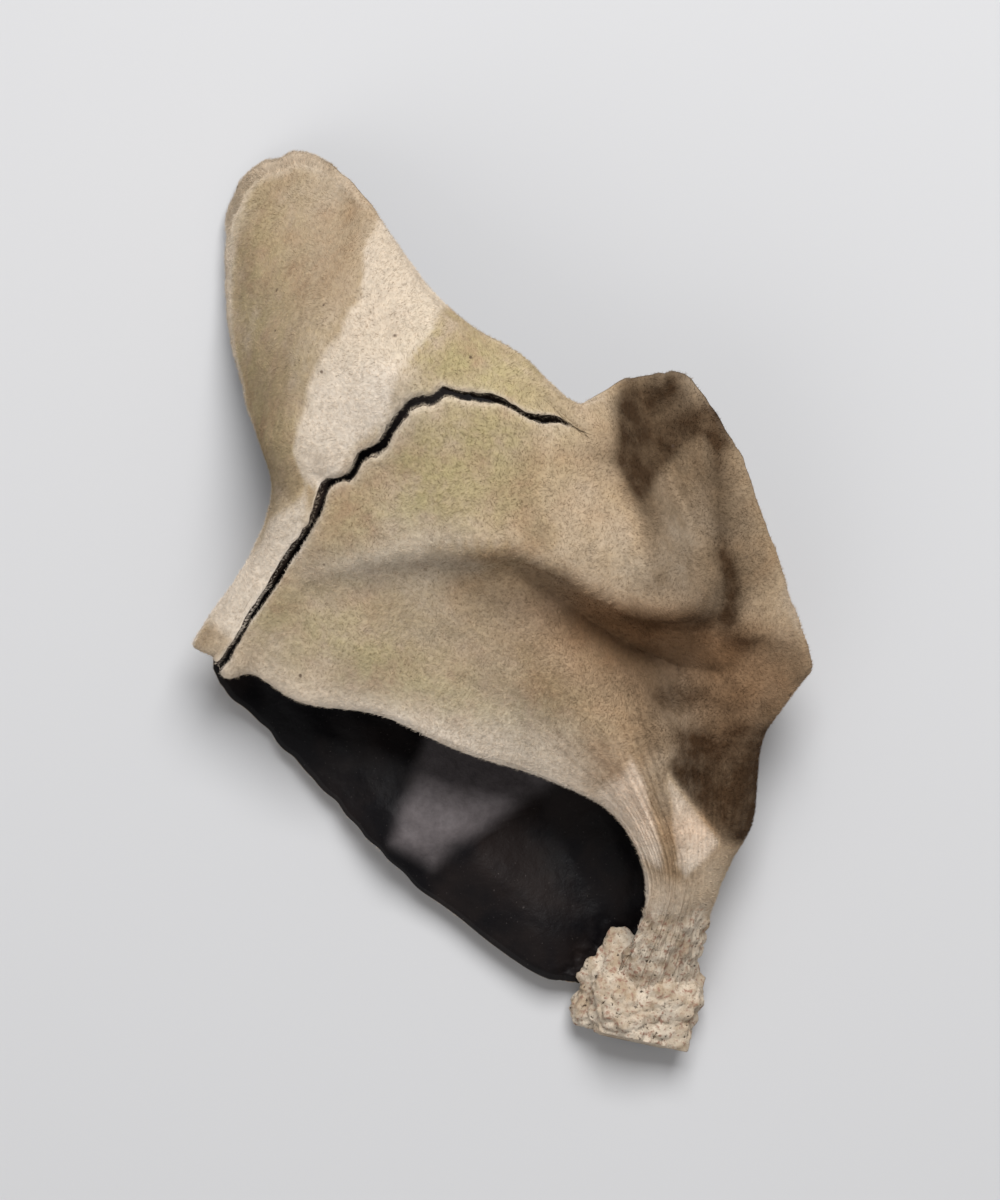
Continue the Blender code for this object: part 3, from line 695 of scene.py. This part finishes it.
# Brown hollows: painted shade in the valley under the lip, in the hollows and along the lobe's far edges,
# with some brown felt.
BROWN_AND_SHADED_STREAKS = [
    (0.2, 0.5, [(-13.4, 0.7, 0.0), (-9.0, 1.8, 0.08), (-6.8, 2.5, 0.12), (-4.9, 3.15, 0.26),
                (-1.0, 3.05, 0.3), (1.2, 2.95, 0.28), (2.4, 2.7, 0.1)]),
    (1.2, 1.7, [(-5.0, 0.6, 0.0), (-2.6, 0.2, 0.08), (-1.0, -0.1, 0.2), (1.2, -0.6, 0.46), (2.8, -1.1, 0.46),
                (4.4, -2.4, 0.2)]),
    (0.4, 2.6, [(-3.0, 2.5, 0.0), (1.0, 2.3, 0.15), (3.2, 1.3, 0.14), (5.8, -0.9, 0.32), (9.3, -1.9, 0.5),
                (12.5, -2.2, 0.45), (14.6, -2.3, 0.2)]),
    (1.4, 2.6, [(3.6, -4.8, 0.15), (7.0, -5.8, 0.54), (10.4, -6.5, 0.8), (13.4, -6.6, 0.9),
                (15.6, -7.6, 0.7)]),
    (0.9, 0.9, [(12.6, -2.8, 0.2), (14.6, -2.9, 0.45), (16.8, -2.8, 0.45)]),
    (1.8, 1.8, [(7.6, -8.4, 0.12), (9.2, -8.4, 0.34), (9.6, -9.6, 0.35)]),
    (1.3, 1.6, [(3.4, 3.6, 0.12), (5.2, 2.8, 0.33), (7.2, 1.6, 0.34), (9.6, 0.8, 0.26), (12.4, 0.2, 0.08)]),
    (3.2, 3.2, [(-5.4, 8.8, 0.06), (0.6, 9.0, 0.08)]),
    (2.4, 2.4, [(-4.4, 5.8, 0.05), (0.4, 5.8, 0.09), (3.6, 6.4, 0.08)]),
    (0.5, 0.9, [(1.4, 4.6, 0.0), (2.8, 4.1, 0.3), (4.0, 3.9, 0.0)]),
    (0.9, 0.9, [(10.6, -9.0, 0.1), (11.7, -9.9, 0.32), (12.1, -11.2, 0.36)]),
    (1.5, 1.5, [(4.8, 9.3, 0.36), (6.6, 9.0, 0.54)]),
    (1.6, 0.8, [(8.0, 14.0, 0.2), (7.9, 11.0, 0.56), (7.9, 9.2, 0.7), (8.1, 7.0, 0.64), (9.4, 4.8, 0.2)]),
    (0.5, 0.7, [(9.9, -9.5, 0.2), (10.8, -13.0, 0.35), (11.2, -15.5, 0.4), (11.5, -18.0, 0.6)]),
    (0.9, 0.9, [(13.6, 11.4, 0.5), (14.0, 8.5, 0.5), (14.1, 5.4, 0.32), (14.5, 2.6, 0.64), (14.9, 0.4, 0.72),
                (15.0, -1.4, 0.5)]),
    (0.8, 0.8, [(9.2, 12.8, 0.2), (11.0, 13.6, 0.4)]),
    (2.2, 2.2, [(-16.4, 12.0, 0.1), (-14.4, 7.4, 0.25)]),
    (2.2, 2.2, [(-17.2, 27.4, 0.3), (-15.0, 29.0, 0.3), (-12.0, 29.2, 0.12)]),
    (1.4, 1.4, [(-17.4, 22.4, 0.1), (-16.9, 18.0, 0.13), (-15.4, 12.4, 0.1)]),
    (2.0, 2.0, [(-8.0, 24.6, 0.22), (-7.0, 21.4, 0.14)]),
    (1.4, 1.4, [(-19.8, -3.0, 0.52), (-17.6, -0.6, 0.12)]),
]
# Reddish places: a red tinge, partly the felt's own warm hue and partly deepening the painted shade in the
# valley under the lip and on the right-hand fold.
RED_PLACES = [
    (1.0, 3.0, [(2.0, 1.6, 0.2), (5.8, -0.9, 0.9), (9.3, -1.9, 1.0), (12.5, -2.4, 1.0), (14.6, -3.4, 0.8)]),
    (2.4, 2.4, [(17.6, -5.4, 0.4), (14.8, -9.0, 0.4), (14.4, -12.0, 0.1)]),
    (1.6, 1.6, [(8.0, -11.8, 0.3), (9.6, -15.0, 0.3), (12.6, -15.4, 0.35)]),
]
YELLOW_PLACES = [
    (3.2, 3.2, [(-16.4, 25.0, 0.4), (-16.4, 17.0, 0.5), (-15.6, 10.0, 0.5)]),
    (2.6, 2.6, [(-3.6, 15.4, 0.9), (0.4, 13.8, 0.7)]),
    (2.4, 2.4, [(-6.0, 8.8, 0.6), (-1.0, 9.4, 0.7), (-8.6, 4.4, 0.5)]),
    (2.0, 2.0, [(-5.0, 5.8, 0.35), (0.0, 5.6, 0.35)]),
    (2.6, 2.6, [(-14.6, -1.6, 0.6), (-9.6, -3.6, 0.8), (-5.0, -6.6, 0.8), (1.0, -8.4, 0.6)]),
]
# Grey facet: a painted sheen, standing for light reflected off the inner skin's satin face.
GREY_SHEEN_FACETS = [
    ([(-4.3, -8.0), (0.4, -8.0), (3.8, -12.0), (-4.7, -18.0), (-7.3, -16.4)], 0.8, 1.0),
]
PANEL_WOBBLE, PANEL_WOBBLE_SIZE = 0.35, 2.2
PAINT_ROUNDING = 0.1
PAINTED_SHARES = (44.0, 50.0)
GREY_SHARES_END = 50

# Pale edges: how strong, the bands that they fade over, and how long the ribs are, longer in the far lobe
MARGIN_PALENESS, FREE_SIDE_PALENESS, PALE_BAND = 0.20, 0.55, 0.9
LOBE_RIM_PALENESS, LOBE_RIM_BAND, LOBE_RIM_SHARES = 0.45, 0.5, (85.5, 87.5)
# The pale line beside the tear is partly a painted highlight on the torn lips.
TORN_PALENESS, TORN_BAND, TORN_REACH = 0.5, 0.35, 0.02
LOBE_START_SHARE, LOBE_RIB_LENGTH, RIB_LENGTH = 76, 58.0, 44.0
FAR_FROM_TEAR = 9.0


def panel_at(x, y, outline, softness):
    """1 inside an outline seen from above, 0 outside it, with a soft edge."""
    nearest, inside = np.full_like(x, np.inf), np.zeros(len(x), bool)
    for (start_x, start_y), (end_x, end_y) in zip(outline, outline[1:] + outline[:1]):
        span_x, span_y = end_x - start_x, end_y - start_y
        t = np.clip(((x - start_x) * span_x + (y - start_y) * span_y) / (span_x**2 + span_y**2), 0.0, 1.0)
        nearest = np.minimum(nearest, np.hypot(x - start_x - span_x * t, y - start_y - span_y * t))
        crosses = (start_y > y) != (end_y > y)
        inside ^= crosses & (x < start_x + span_x * (y - start_y) / (span_y if span_y else 1.0))
    return smooth(-softness, softness, np.where(inside, nearest, -nearest))


def panels_at(x, y, panels):
    return sum(amount * panel_at(x, y, outline, softness) for outline, softness, amount in panels)


x, y = (point[:, :2] - CENTRING[:2]).T
wobble = PANEL_WOBBLE * noise_at(x / PANEL_WOBBLE_SIZE, y / PANEL_WOBBLE_SIZE, 0.0)
pale_and_lit, brown_and_shade, grey_sheen = (
    panels_at(x + wobble, y - wobble, panels) for panels in (PALE_AND_LIT_PANELS, BROWN_AND_SHADED_PANELS, GREY_SHEEN_FACETS)
)
pale_and_lit += folds_at(x, y, PALE_AND_LIT_STREAKS, PAINT_ROUNDING)
brown_and_shade += folds_at(x, y, BROWN_AND_SHADED_STREAKS, PAINT_ROUNDING)
rib_length = np.where(share > LOBE_START_SHARE, LOBE_RIB_LENGTH, RIB_LENGTH)
to_margin = np.maximum((1 - MARGIN_BITE - place) * rib_length, 0)
to_tear = np.where(share > tear_tip, np.abs(place - TEAR_PLACE) * rib_length, FAR_FROM_TEAR)
pale_rim = MARGIN_PALENESS * np.exp(-to_margin / PALE_BAND) + TORN_PALENESS * np.exp(-to_tear / TORN_BAND)
pale_rim += FREE_SIDE_PALENESS * np.exp(-np.minimum(share, 100 - share) / PALE_BAND)
pale_rim += LOBE_RIM_PALENESS * np.exp(-((to_margin / LOBE_RIM_BAND) ** 2)) * smooth(*LOBE_RIM_SHARES, share)
# Paleness carries painted highlight above zero and painted shade below zero, besides the pale felt and the
# pale edges.
in_front = smooth(*PAINTED_SHARES, share)
write_floats(solid_mesh, "paleness", np.clip(in_front * (pale_and_lit - brown_and_shade) + pale_rim, -1.0, 1.0))
write_floats(solid_mesh, "yellowness", np.clip(in_front * folds_at(x, y, YELLOW_PLACES), 0.0, 1.0))
write_floats(solid_mesh, "redness", np.clip(in_front * folds_at(x, y, RED_PLACES), 0.0, 1.0))
write_floats(solid_mesh, "greyness", np.clip(grey_sheen * (share < GREY_SHARES_END), 0.0, 1.0))
write_floats(solid_mesh, "torn", np.where(to_tear < TORN_REACH, 1.0, 0.0))


def plug(tree, node, values):
    """Links values to the sockets that they are named for."""
    for socket, value in values.items():
        tree.links.new(value, node.inputs[socket])


def add_node(tree, kind, values=(), **settings):
    """A shader node with its settings, and with each socket's value or link."""
    node = tree.nodes.new("ShaderNode" + kind)
    for name, setting in settings.items():
        setattr(node, name, setting)
    for socket, value in dict(values).items():
        if isinstance(value, bpy.types.NodeSocket):
            tree.links.new(value, node.inputs[socket])
        else:
            node.inputs[socket].default_value = value
    return node


def blend_colours(tree, factor, first, second, blend_type="MIX"):
    colours = {0: factor, 6: first, 7: second}
    return add_node(tree, "Mix", colours, data_type="RGBA", blend_type=blend_type).outputs[2]


def pattern(tree, size, detail, roughness=0.55, offset=0.0):
    """Noise in the piece's own coordinates, with features of a size in millimetres, mostly 0.3 to 0.7."""
    place = add_node(tree, "TexCoord").outputs["Object"]
    moved = add_node(tree, "Mapping", {"Vector": place, "Location": (offset, 0.0, 0.0)}).outputs["Vector"]
    values = {"Vector": moved, "Scale": 1 / (size * MM), "Detail": detail, "Roughness": roughness}
    return add_node(tree, "TexNoise", values).outputs["Fac"]


def remap(tree, value, low, high, to_low=0.0, to_high=1.0):
    values = {"Value": value, "From Min": low, "From Max": high, "To Min": to_low, "To Max": to_high}
    return add_node(tree, "MapRange", values).outputs["Result"]


def calculate(tree, operation, first, second):
    return add_node(tree, "Math", {0: first, 1: second}, operation=operation).outputs["Value"]


def painted(tree, name):
    """A value painted on the piece's own points."""
    return add_node(tree, "Attribute", attribute_name=name).outputs["Fac"]


def start_group(name, inputs, outputs):
    tree = bpy.data.node_groups.new(name, "ShaderNodeTree")
    for direction, sockets in (("INPUT", inputs), ("OUTPUT", outputs)):
        for label, kind in sockets.items():
            tree.interface.new_socket(label, in_out=direction, socket_type="NodeSocket" + kind)
    return tree, tree.nodes.new("NodeGroupInput"), tree.nodes.new("NodeGroupOutput")


def use_group(tree, group, values):
    node = tree.nodes.new("ShaderNodeGroup")
    node.node_tree = group
    plug(tree, node, values)
    return node


def start_material(material, roughness, specular):
    material.use_nodes = True
    tree = material.node_tree
    shader = tree.nodes["Principled BSDF"]
    shader.inputs["Roughness"].default_value = roughness
    shader.inputs["Specular IOR Level"].default_value = specular
    return tree, shader


def add_bump(tree, shader, height, depth, strength=1.0):
    values = {"Height": height, "Distance": depth * MM, "Strength": strength}
    plug(tree, shader, {"Normal": add_node(tree, "Bump", values).outputs["Normal"]})


# The felt's colour: greyish tan, lightened on the panels by painted highlight and darkened brown in the
# hollows by painted shade, each over the felt's own pale and brown patches, tinged red where the painted
# shade deepens, mottled at three sizes, with a few fine dark specks. A pattern is its size in millimetres,
# detail, roughness and offset. A blend is the stretch of a pattern's values that it runs over, then its
# strength at both ends.
TAN = (0.400, 0.300, 0.195, 1)
GREY_TAN = (0.455, 0.365, 0.265, 1)
WARM_TAN = (0.375, 0.262, 0.160, 1)
YELLOW_TAN = (0.400, 0.335, 0.175, 1)
# Pale felt and brown felt are also the colours of the painted highlight and the painted shade.
PALE_AND_LIT_FELT = (0.690, 0.600, 0.500, 1)
BROWN_AND_SHADED_FELT = (0.054, 0.030, 0.0145, 1)
RED_TINGE = (1.0, 0.76, 0.58, 1)
DARK_SPECK = (0.100, 0.065, 0.045, 1)
BROAD_PATTERN, BROAD_BLEND = (6.5, 2.0), (0.38, 0.62)
MIDDLE_PATTERN, MIDDLE_BLEND = (1.7, 4.0, 0.6, 0.3), (0.35, 0.65, 0.0, 0.7)
SPECKLE_PATTERN, GRAIN_BLEND = (0.42, 3.0, 0.65, 0.7), (0.32, 0.68, 0.88, 1.12)
YELLOW_BLEND, PANEL_BLEND = (0.3, 0.6), (0.3, 0.7, 0.8, 1.1)
SPECKS_TO_METRE, SPECK_EDGE, RARE_SPECKS, SPECK_STRENGTH = 620.0, (0.10, 0.05), (0.80, 0.84), 0.8

given_paints = {"Paleness": "Float", "Yellowness": "Float", "Redness": "Float"}
tree, given, result = start_group("felt colour", given_paints, {"Color": "Color", "Height": "Float"})
broad = pattern(tree, *BROAD_PATTERN)
middle = pattern(tree, *MIDDLE_PATTERN)
speckle = pattern(tree, *SPECKLE_PATTERN)
colour = blend_colours(tree, remap(tree, broad, *BROAD_BLEND), WARM_TAN, GREY_TAN)
colour = blend_colours(tree, remap(tree, middle, *MIDDLE_BLEND), colour, TAN)
patchy = remap(tree, middle, *YELLOW_BLEND)
yellow = calculate(tree, "MULTIPLY", given.outputs["Yellowness"], patchy)
colour = blend_colours(tree, yellow, colour, YELLOW_TAN)
uneven = remap(tree, middle, *PANEL_BLEND)
# Paleness above zero lightens towards pale felt, painted highlight included; below zero it darkens towards
# brown, painted shade included.
for strongest, paint in ((1.0, PALE_AND_LIT_FELT), (-1.0, BROWN_AND_SHADED_FELT)):
    strength = remap(tree, given.outputs["Paleness"], 0.0, strongest)
    colour = blend_colours(tree, calculate(tree, "MULTIPLY", strength, uneven), colour, paint)
colour = blend_colours(tree, given.outputs["Redness"], colour, RED_TINGE, "MULTIPLY")
grain = remap(tree, speckle, *GRAIN_BLEND)
colour = blend_colours(tree, 1.0, colour, grain, "MULTIPLY")
where = add_node(tree, "TexCoord").outputs["Object"]
cells = add_node(tree, "TexVoronoi", {"Vector": where, "Scale": SPECKS_TO_METRE})
speck = remap(tree, cells.outputs["Distance"], *SPECK_EDGE)
cell_value = add_node(tree, "SeparateColor", {0: cells.outputs["Color"]}).outputs[0]
speck = calculate(tree, "MULTIPLY", speck, remap(tree, cell_value, *RARE_SPECKS))
speck = calculate(tree, "MULTIPLY", speck, SPECK_STRENGTH)
colour = blend_colours(tree, speck, colour, DARK_SPECK)
plug(tree, result, {"Color": colour, "Height": calculate(tree, "ADD", speckle, middle)})
felt_colour = tree

# The inner skin's colour: nearly black, with a painted grey sheen, standing for light reflected off the satin
# skin, on some facets, and a little dust in its wrinkles.
BLACK_SKIN = (0.0046, 0.0040, 0.0048, 1)
BROWN_SKIN = (0.014, 0.010, 0.0092, 1)
# The grey sheen is a painted reflection on the dark skin.
GREY_SHEEN = (0.120, 0.104, 0.106, 1)
DUST = (0.16, 0.14, 0.13, 1)
CLOUD_PATTERN, CLOUD_BLEND, CLOUD_ROUGHNESS = (5.0, 3.0), (0.4, 0.65), (0.3, 0.7, 0.40, 0.55)
WRINKLE_PATTERN, SHEEN_BLEND = (0.7, 6.0, 0.62), (0.2, 0.6, 0.6, 1.0)
DUST_PATTERN, DUST_BLEND, DUST_STRENGTH = (0.16, 2.0, 0.6), (0.68, 0.78), 0.35

tree, given, result = start_group(
    "inner skin colour", {"Greyness": "Float"}, {"Color": "Color", "Height": "Float", "Roughness": "Float"}
)
cloudy = pattern(tree, *CLOUD_PATTERN)
wrinkled = pattern(tree, *WRINKLE_PATTERN)
dusty = pattern(tree, *DUST_PATTERN)
colour = blend_colours(tree, remap(tree, cloudy, *CLOUD_BLEND), BLACK_SKIN, BROWN_SKIN)
patchy = remap(tree, wrinkled, *SHEEN_BLEND)
# Greyness lays the painted grey sheen, a reflection of the light, on the skin.
sheen = calculate(tree, "MULTIPLY", given.outputs["Greyness"], patchy)
colour = blend_colours(tree, sheen, colour, GREY_SHEEN)
specks = calculate(tree, "MULTIPLY", remap(tree, dusty, *DUST_BLEND), DUST_STRENGTH)
colour = blend_colours(tree, specks, colour, DUST)
rough = remap(tree, cloudy, *CLOUD_ROUGHNESS)
plug(tree, result, {"Color": colour, "Height": wrinkled, "Roughness": rough})
skin_colour = tree

# The crumbly flesh's colour: cream crumbs with tan, pinkish brown and dark cracks between them.
CREAM = (0.62, 0.53, 0.42, 1)
CRUMB_TAN = (0.42, 0.32, 0.22, 1)
PINK_BROWN = (0.30, 0.17, 0.12, 1)
DARK_CRACK = (0.07, 0.045, 0.03, 1)
COARSE_PATTERN, CRUMB_PATTERN = (1.6, 4.0, 0.6), (0.35, 4.0, 0.65)
TAN_BLEND, PINK_BLEND, CRACK_BLEND = (0.42, 0.62), (0.52, 0.66), (0.40, 0.32)

tree, _, result = start_group("crumbly flesh colour", {}, {"Color": "Color", "Height": "Float"})
coarse = pattern(tree, *COARSE_PATTERN)
crumbs = pattern(tree, *CRUMB_PATTERN)
colour = blend_colours(tree, remap(tree, coarse, *TAN_BLEND), CREAM, CRUMB_TAN)
colour = blend_colours(tree, remap(tree, crumbs, *PINK_BLEND), colour, PINK_BROWN)
colour = blend_colours(tree, remap(tree, crumbs, *CRACK_BLEND), colour, DARK_CRACK)
plug(tree, result, {"Color": colour, "Height": crumbs})
crumb_colour = tree


def felt_on(tree):
    """The felt's colour and height, giving way to crumbly flesh at the foot."""
    paints = {name: painted(tree, name.lower()) for name in ("Paleness", "Yellowness", "Redness")}
    felt, crumb = use_group(tree, felt_colour, paints), use_group(tree, crumb_colour, {})
    bare = painted(tree, "crumbly")
    colour = blend_colours(tree, bare, felt.outputs["Color"], crumb.outputs["Color"])
    height = add_node(tree, "Mix", {0: bare, 2: felt.outputs["Height"], 3: crumb.outputs["Height"]})
    return colour, height.outputs[0]


# The flesh's three finishes: roughness and specular level, then its bump's depth in millimetres and strength.
FELT_FINISH, FELT_BUMP = (0.95, 0.15), (0.12, 0.8)
SKIN_FINISH, SKIN_BUMP = (0.45, 0.08), (0.10, 0.9)
RIM_FINISH, RIM_BUMP = (0.8, 0.25), (0.10, 0.8)
RIM_BLEND = (0.35, 0.6)
TORN_FLESH = (0.045, 0.028, 0.020, 1)

felted_back, dark_skin, bare_rim = (solid_mesh.materials[index] for index in (FELT, SKIN, RIM))
tree, shader = start_material(felted_back, *FELT_FINISH)
colour, height = felt_on(tree)
plug(tree, shader, {"Base Color": colour})
add_bump(tree, shader, height, *FELT_BUMP)

tree, shader = start_material(dark_skin, *SKIN_FINISH)
skin = use_group(tree, skin_colour, {"Greyness": painted(tree, "greyness")})
plug(tree, shader, {"Base Color": skin.outputs["Color"], "Roughness": skin.outputs["Roughness"]})
add_bump(tree, shader, skin.outputs["Height"], *SKIN_BUMP)

# Across the rim the felt's colour gives way to the skin's, and torn flesh is dark brown.
tree, shader = start_material(bare_rim, *RIM_FINISH)
colour, height = felt_on(tree)
skin = use_group(tree, skin_colour, {"Greyness": painted(tree, "greyness")})
to_skin = remap(tree, painted(tree, "across"), *RIM_BLEND)
colour = blend_colours(tree, to_skin, colour, skin.outputs["Color"])
colour = blend_colours(tree, painted(tree, "torn"), colour, TORN_FLESH)
plug(tree, shader, {"Base Color": colour})
add_bump(tree, shader, height, *RIM_BUMP)

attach(flesh, "root")
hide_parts("wood_ear")


# The stub: the foot that held the ear to the wood.
# A short lump of pale, crumbly flesh, where the sheet grew together. It was cut off flat at harvest, and its
# outside has dried into crumbs with cracks between them.
STUB_RADII = Vector((4.4, 4.4, 2.6))
STUB_CUT = 2.9
CUT_SLANT = Vector((-0.22, -1.0, 0.15))
STUB_LUMPS, STUB_LUMPS_ACROSS = 0.3, 1.9
STUB_LUMP_SHIFT = Vector((3.1, 0.2, 5.0))
STUB_SUBDIVISIONS = 6
STUB_FINISH, STUB_BUMP = (0.9, 0.2), 0.15

bm = bmesh.new()
bmesh.ops.create_icosphere(bm, subdivisions=STUB_SUBDIVISIONS, radius=1.0)
for vert in bm.verts:
    lump = 1 + STUB_LUMPS * noise.noise(vert.co * STUB_LUMPS_ACROSS + STUB_LUMP_SHIFT)
    outward = vert.co.copy()
    vert.co = Vector(a * b for a, b in zip(vert.co, STUB_RADII)) * lump + STUB_CENTRE + Vector(CENTRING)
    vert.co -= outward * float(crumbs_at(np.array([vert.co]))[0])
cut = STUB_CENTRE + Vector(CENTRING) + Vector((0.0, -STUB_CUT, 0.0))
everything = bm.verts[:] + bm.edges[:] + bm.faces[:]
bmesh.ops.bisect_plane(bm, geom=everything, plane_co=cut, plane_no=CUT_SLANT, clear_outer=True)
cap = bmesh.ops.holes_fill(bm, edges=[edge for edge in bm.edges if edge.is_boundary])["faces"]
bmesh.ops.triangulate(bm, faces=cap)
for vert in bm.verts:
    vert.co.z = max(vert.co.z, CLEAR_OF_TABLE)
    vert.co *= MM
stub_mesh = mesh_of(bm, "stub")
stub_mesh.polygons.foreach_set("use_smooth", [True] * len(stub_mesh.polygons))
stub = add_object("stub", stub_mesh)

stub_material = bpy.data.materials.new("crumbly stub")
tree, shader = start_material(stub_material, *STUB_FINISH)
crumb = use_group(tree, crumb_colour, {})
plug(tree, shader, {"Base Color": crumb.outputs["Color"]})
add_bump(tree, shader, crumb.outputs["Height"], STUB_BUMP)
stub_mesh.materials.append(stub_material)
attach(stub, "root")
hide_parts("wood_ear")


# The felt: a dense nap of short hairs.
# The back of the ear is covered with fine short hairs, which grew out of the flesh and lie in soft swirls.
# They stand on the flesh's felted faces, and a few reach out over the rim.

# Stretches of shares and of places along the ribs, then for each area: hairs to a square millimetre, as far
# as the most for a piece allows, their length, how much they swirl, and the stretches that they cover.
REAR_WALL, RIGHT_FOLD, FRONT_WALL = (-np.inf, 44), (44, 62), (62, np.inf)
BODY, HUMP, LOBE = (-np.inf, 0.50), (0.50, TEAR_PLACE), (TEAR_PLACE, np.inf)
WHOLE_RIB, OUTER_ROWS = (-np.inf, np.inf), (0.984, np.inf)
NAP_AREAS = {
    "felt_lobe": (150, 0.28, 1.0, FRONT_WALL, LOBE),
    "felt_hump": (150, 0.28, 1.0, FRONT_WALL, HUMP),
    "felt_body": (150, 0.28, 1.0, FRONT_WALL, BODY),
    "felt_right_fold": (110, 0.28, 1.0, RIGHT_FOLD, WHOLE_RIB),
    "felt_underside": (40, 0.28, 1.0, REAR_WALL, WHOLE_RIB),
    "frayed_lobe_rim": (260, 0.42, 0.35, FRAYED_SHARES, OUTER_ROWS),
}
MOST_HAIRS = 49000
CHANCE_START = 11
SMALLEST_AREA = 1e-6

# A hair's size, the least and most that chance makes of it, and how far it turns in swirls and strays
HAIR_HALF_WIDTH, WIDTH_RANGE = 0.016, (0.6, 1.3)
LENGTH_RANGE, HEIGHT_RANGE = (0.6, 1.15), (0.25, 1.0)
HAIR_SINK = 0.03
TIPS_CLEAR_OF_TABLE = 0.02
SWIRL_SIZE, SWIRL_TURN, STRAY_TURN = 2.6, 2.2, 0.55
NAP_FINISH, TINT_RANGE = (0.9, 0.1), (0.88, 1.14)


def within(values, stretch):
    return (values > stretch[0]) & (values <= stretch[1])


bm = bmesh.new()
bmesh.ops.create_cone(bm, segments=3, radius1=1.0, radius2=0.0, depth=1.0, cap_ends=True)
bmesh.ops.remove_doubles(bm, verts=bm.verts, dist=1e-4)
bmesh.ops.translate(bm, verts=bm.verts, vec=(0.0, 0.0, 0.5))
spike_mesh = mesh_of(bm, "spike")
spike = read_rows(spike_mesh.vertices, "co", 3)
spike_faces = np.array([list(polygon.vertices) for polygon in spike_mesh.polygons])
bpy.data.meshes.remove(spike_mesh)

nap_material = bpy.data.materials.new("felt nap")
tree, shader = start_material(nap_material, *NAP_FINISH)
colour, _ = felt_on(tree)
tint = remap(tree, painted(tree, "tint"), 0.0, 1.0, *TINT_RANGE)
plug(tree, shader, {"Base Color": blend_colours(tree, 1.0, colour, tint, "MULTIPLY")})

solid_mesh.calc_loop_triangles()
corners = read_rows(solid_mesh.loop_triangles, "vertices", 3, np.int32)
owner = read_rows(solid_mesh.loop_triangles, "polygon_index", 1, np.int32)[:, 0]
finish_of = read_rows(solid_mesh.polygons, "material_index", 1, np.int32)[owner, 0]
point = read_rows(solid_mesh.vertices, "co", 3) / MM
outward = read_rows(solid_mesh.vertex_normals, "vector", 3)
# The hairs take on the flesh's paint, its painted highlight and shade with it.
paints = {name: read_floats(solid_mesh, name) for name in ("paleness", "yellowness", "redness", "crumbly")}
first, second, third = (point[corners[:, i]] for i in range(3))
facing = np.cross(second - first, third - first)
area = np.linalg.norm(facing, axis=1) / 2
hairy = (finish_of == FELT) | ((finish_of == RIM) & (across[corners].mean(axis=1) < MID_RIM))
area *= 1 - paints["crumbly"][corners].mean(axis=1)
mean_share, mean_place = share[corners].mean(axis=1), place[corners].mean(axis=1)
towards_margin = (
    (place[corners[:, 1]] - place[corners[:, 0]])[:, None] * np.cross(third - first, facing)
    + (place[corners[:, 2]] - place[corners[:, 0]])[:, None] * np.cross(facing, second - first)
)
hairy &= area > SMALLEST_AREA
chance = np.random.default_rng(CHANCE_START)

for name, (density, hair_length, swirl, wall, stretch) in NAP_AREAS.items():
    chosen = np.flatnonzero(hairy & within(mean_share, wall) & within(mean_place, stretch))
    count = min(MOST_HAIRS, int(density * area[chosen].sum()))
    under = chance.choice(chosen, count, p=area[chosen] / area[chosen].sum())
    mix = np.sort(chance.random((count, 2)), axis=1)
    mix = np.column_stack([mix[:, 0], mix[:, 1] - mix[:, 0], 1 - mix[:, 1]])
    root = (point[corners[under]] * mix[..., None]).sum(axis=1)
    up = unit((outward[corners[under]] * mix[..., None]).sum(axis=1))
    lay = towards_margin[under] + NEVER_ZERO
    lay -= up * (lay * up).sum(axis=1, keepdims=True)
    lay = unit(lay)
    turn = swirl * (SWIRL_TURN * noise_of_size(root, SWIRL_SIZE) + chance.normal(0.0, STRAY_TURN, count))
    lay = lay * np.cos(turn)[:, None] + np.cross(up, lay) * np.sin(turn)[:, None]
    length = hair_length * chance.uniform(*LENGTH_RANGE, count)
    height = NAP_DEPTH * chance.uniform(*HEIGHT_RANGE, count)
    along = lay * np.sqrt(length**2 - height**2)[:, None] + up * height[:, None]
    tip = root + along
    tip[:, 2] = np.maximum(tip[:, 2], TIPS_CLEAR_OF_TABLE)
    root -= up * HAIR_SINK
    along = tip - root
    wide = unit(np.cross(along, up))
    thick = unit(np.cross(wide, along))
    width = HAIR_HALF_WIDTH * chance.uniform(*WIDTH_RANGE, count)
    hairs = (
        root[:, None]
        + spike[None, :, :1] * (wide * width[:, None])[:, None]
        + spike[None, :, 1:2] * (thick * width[:, None])[:, None]
        + spike[None, :, 2:] * along[:, None]
    )
    faces = (np.arange(count)[:, None, None] * len(spike) + spike_faces[None]).reshape(-1, 3)
    nap_mesh = bpy.data.meshes.new(name)
    nap_mesh.from_pydata((hairs.reshape(-1, 3) * MM).tolist(), [], faces.tolist())
    for paint, values in paints.items():
        write_floats(nap_mesh, paint, np.repeat((values[corners[under]] * mix).sum(axis=1), len(spike)))
    write_floats(nap_mesh, "tint", np.repeat(chance.random(count), len(spike)))
    nap_mesh.materials.append(nap_material)
    nap = add_object(name, nap_mesh)
    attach(nap, "root")
    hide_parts("wood_ear")
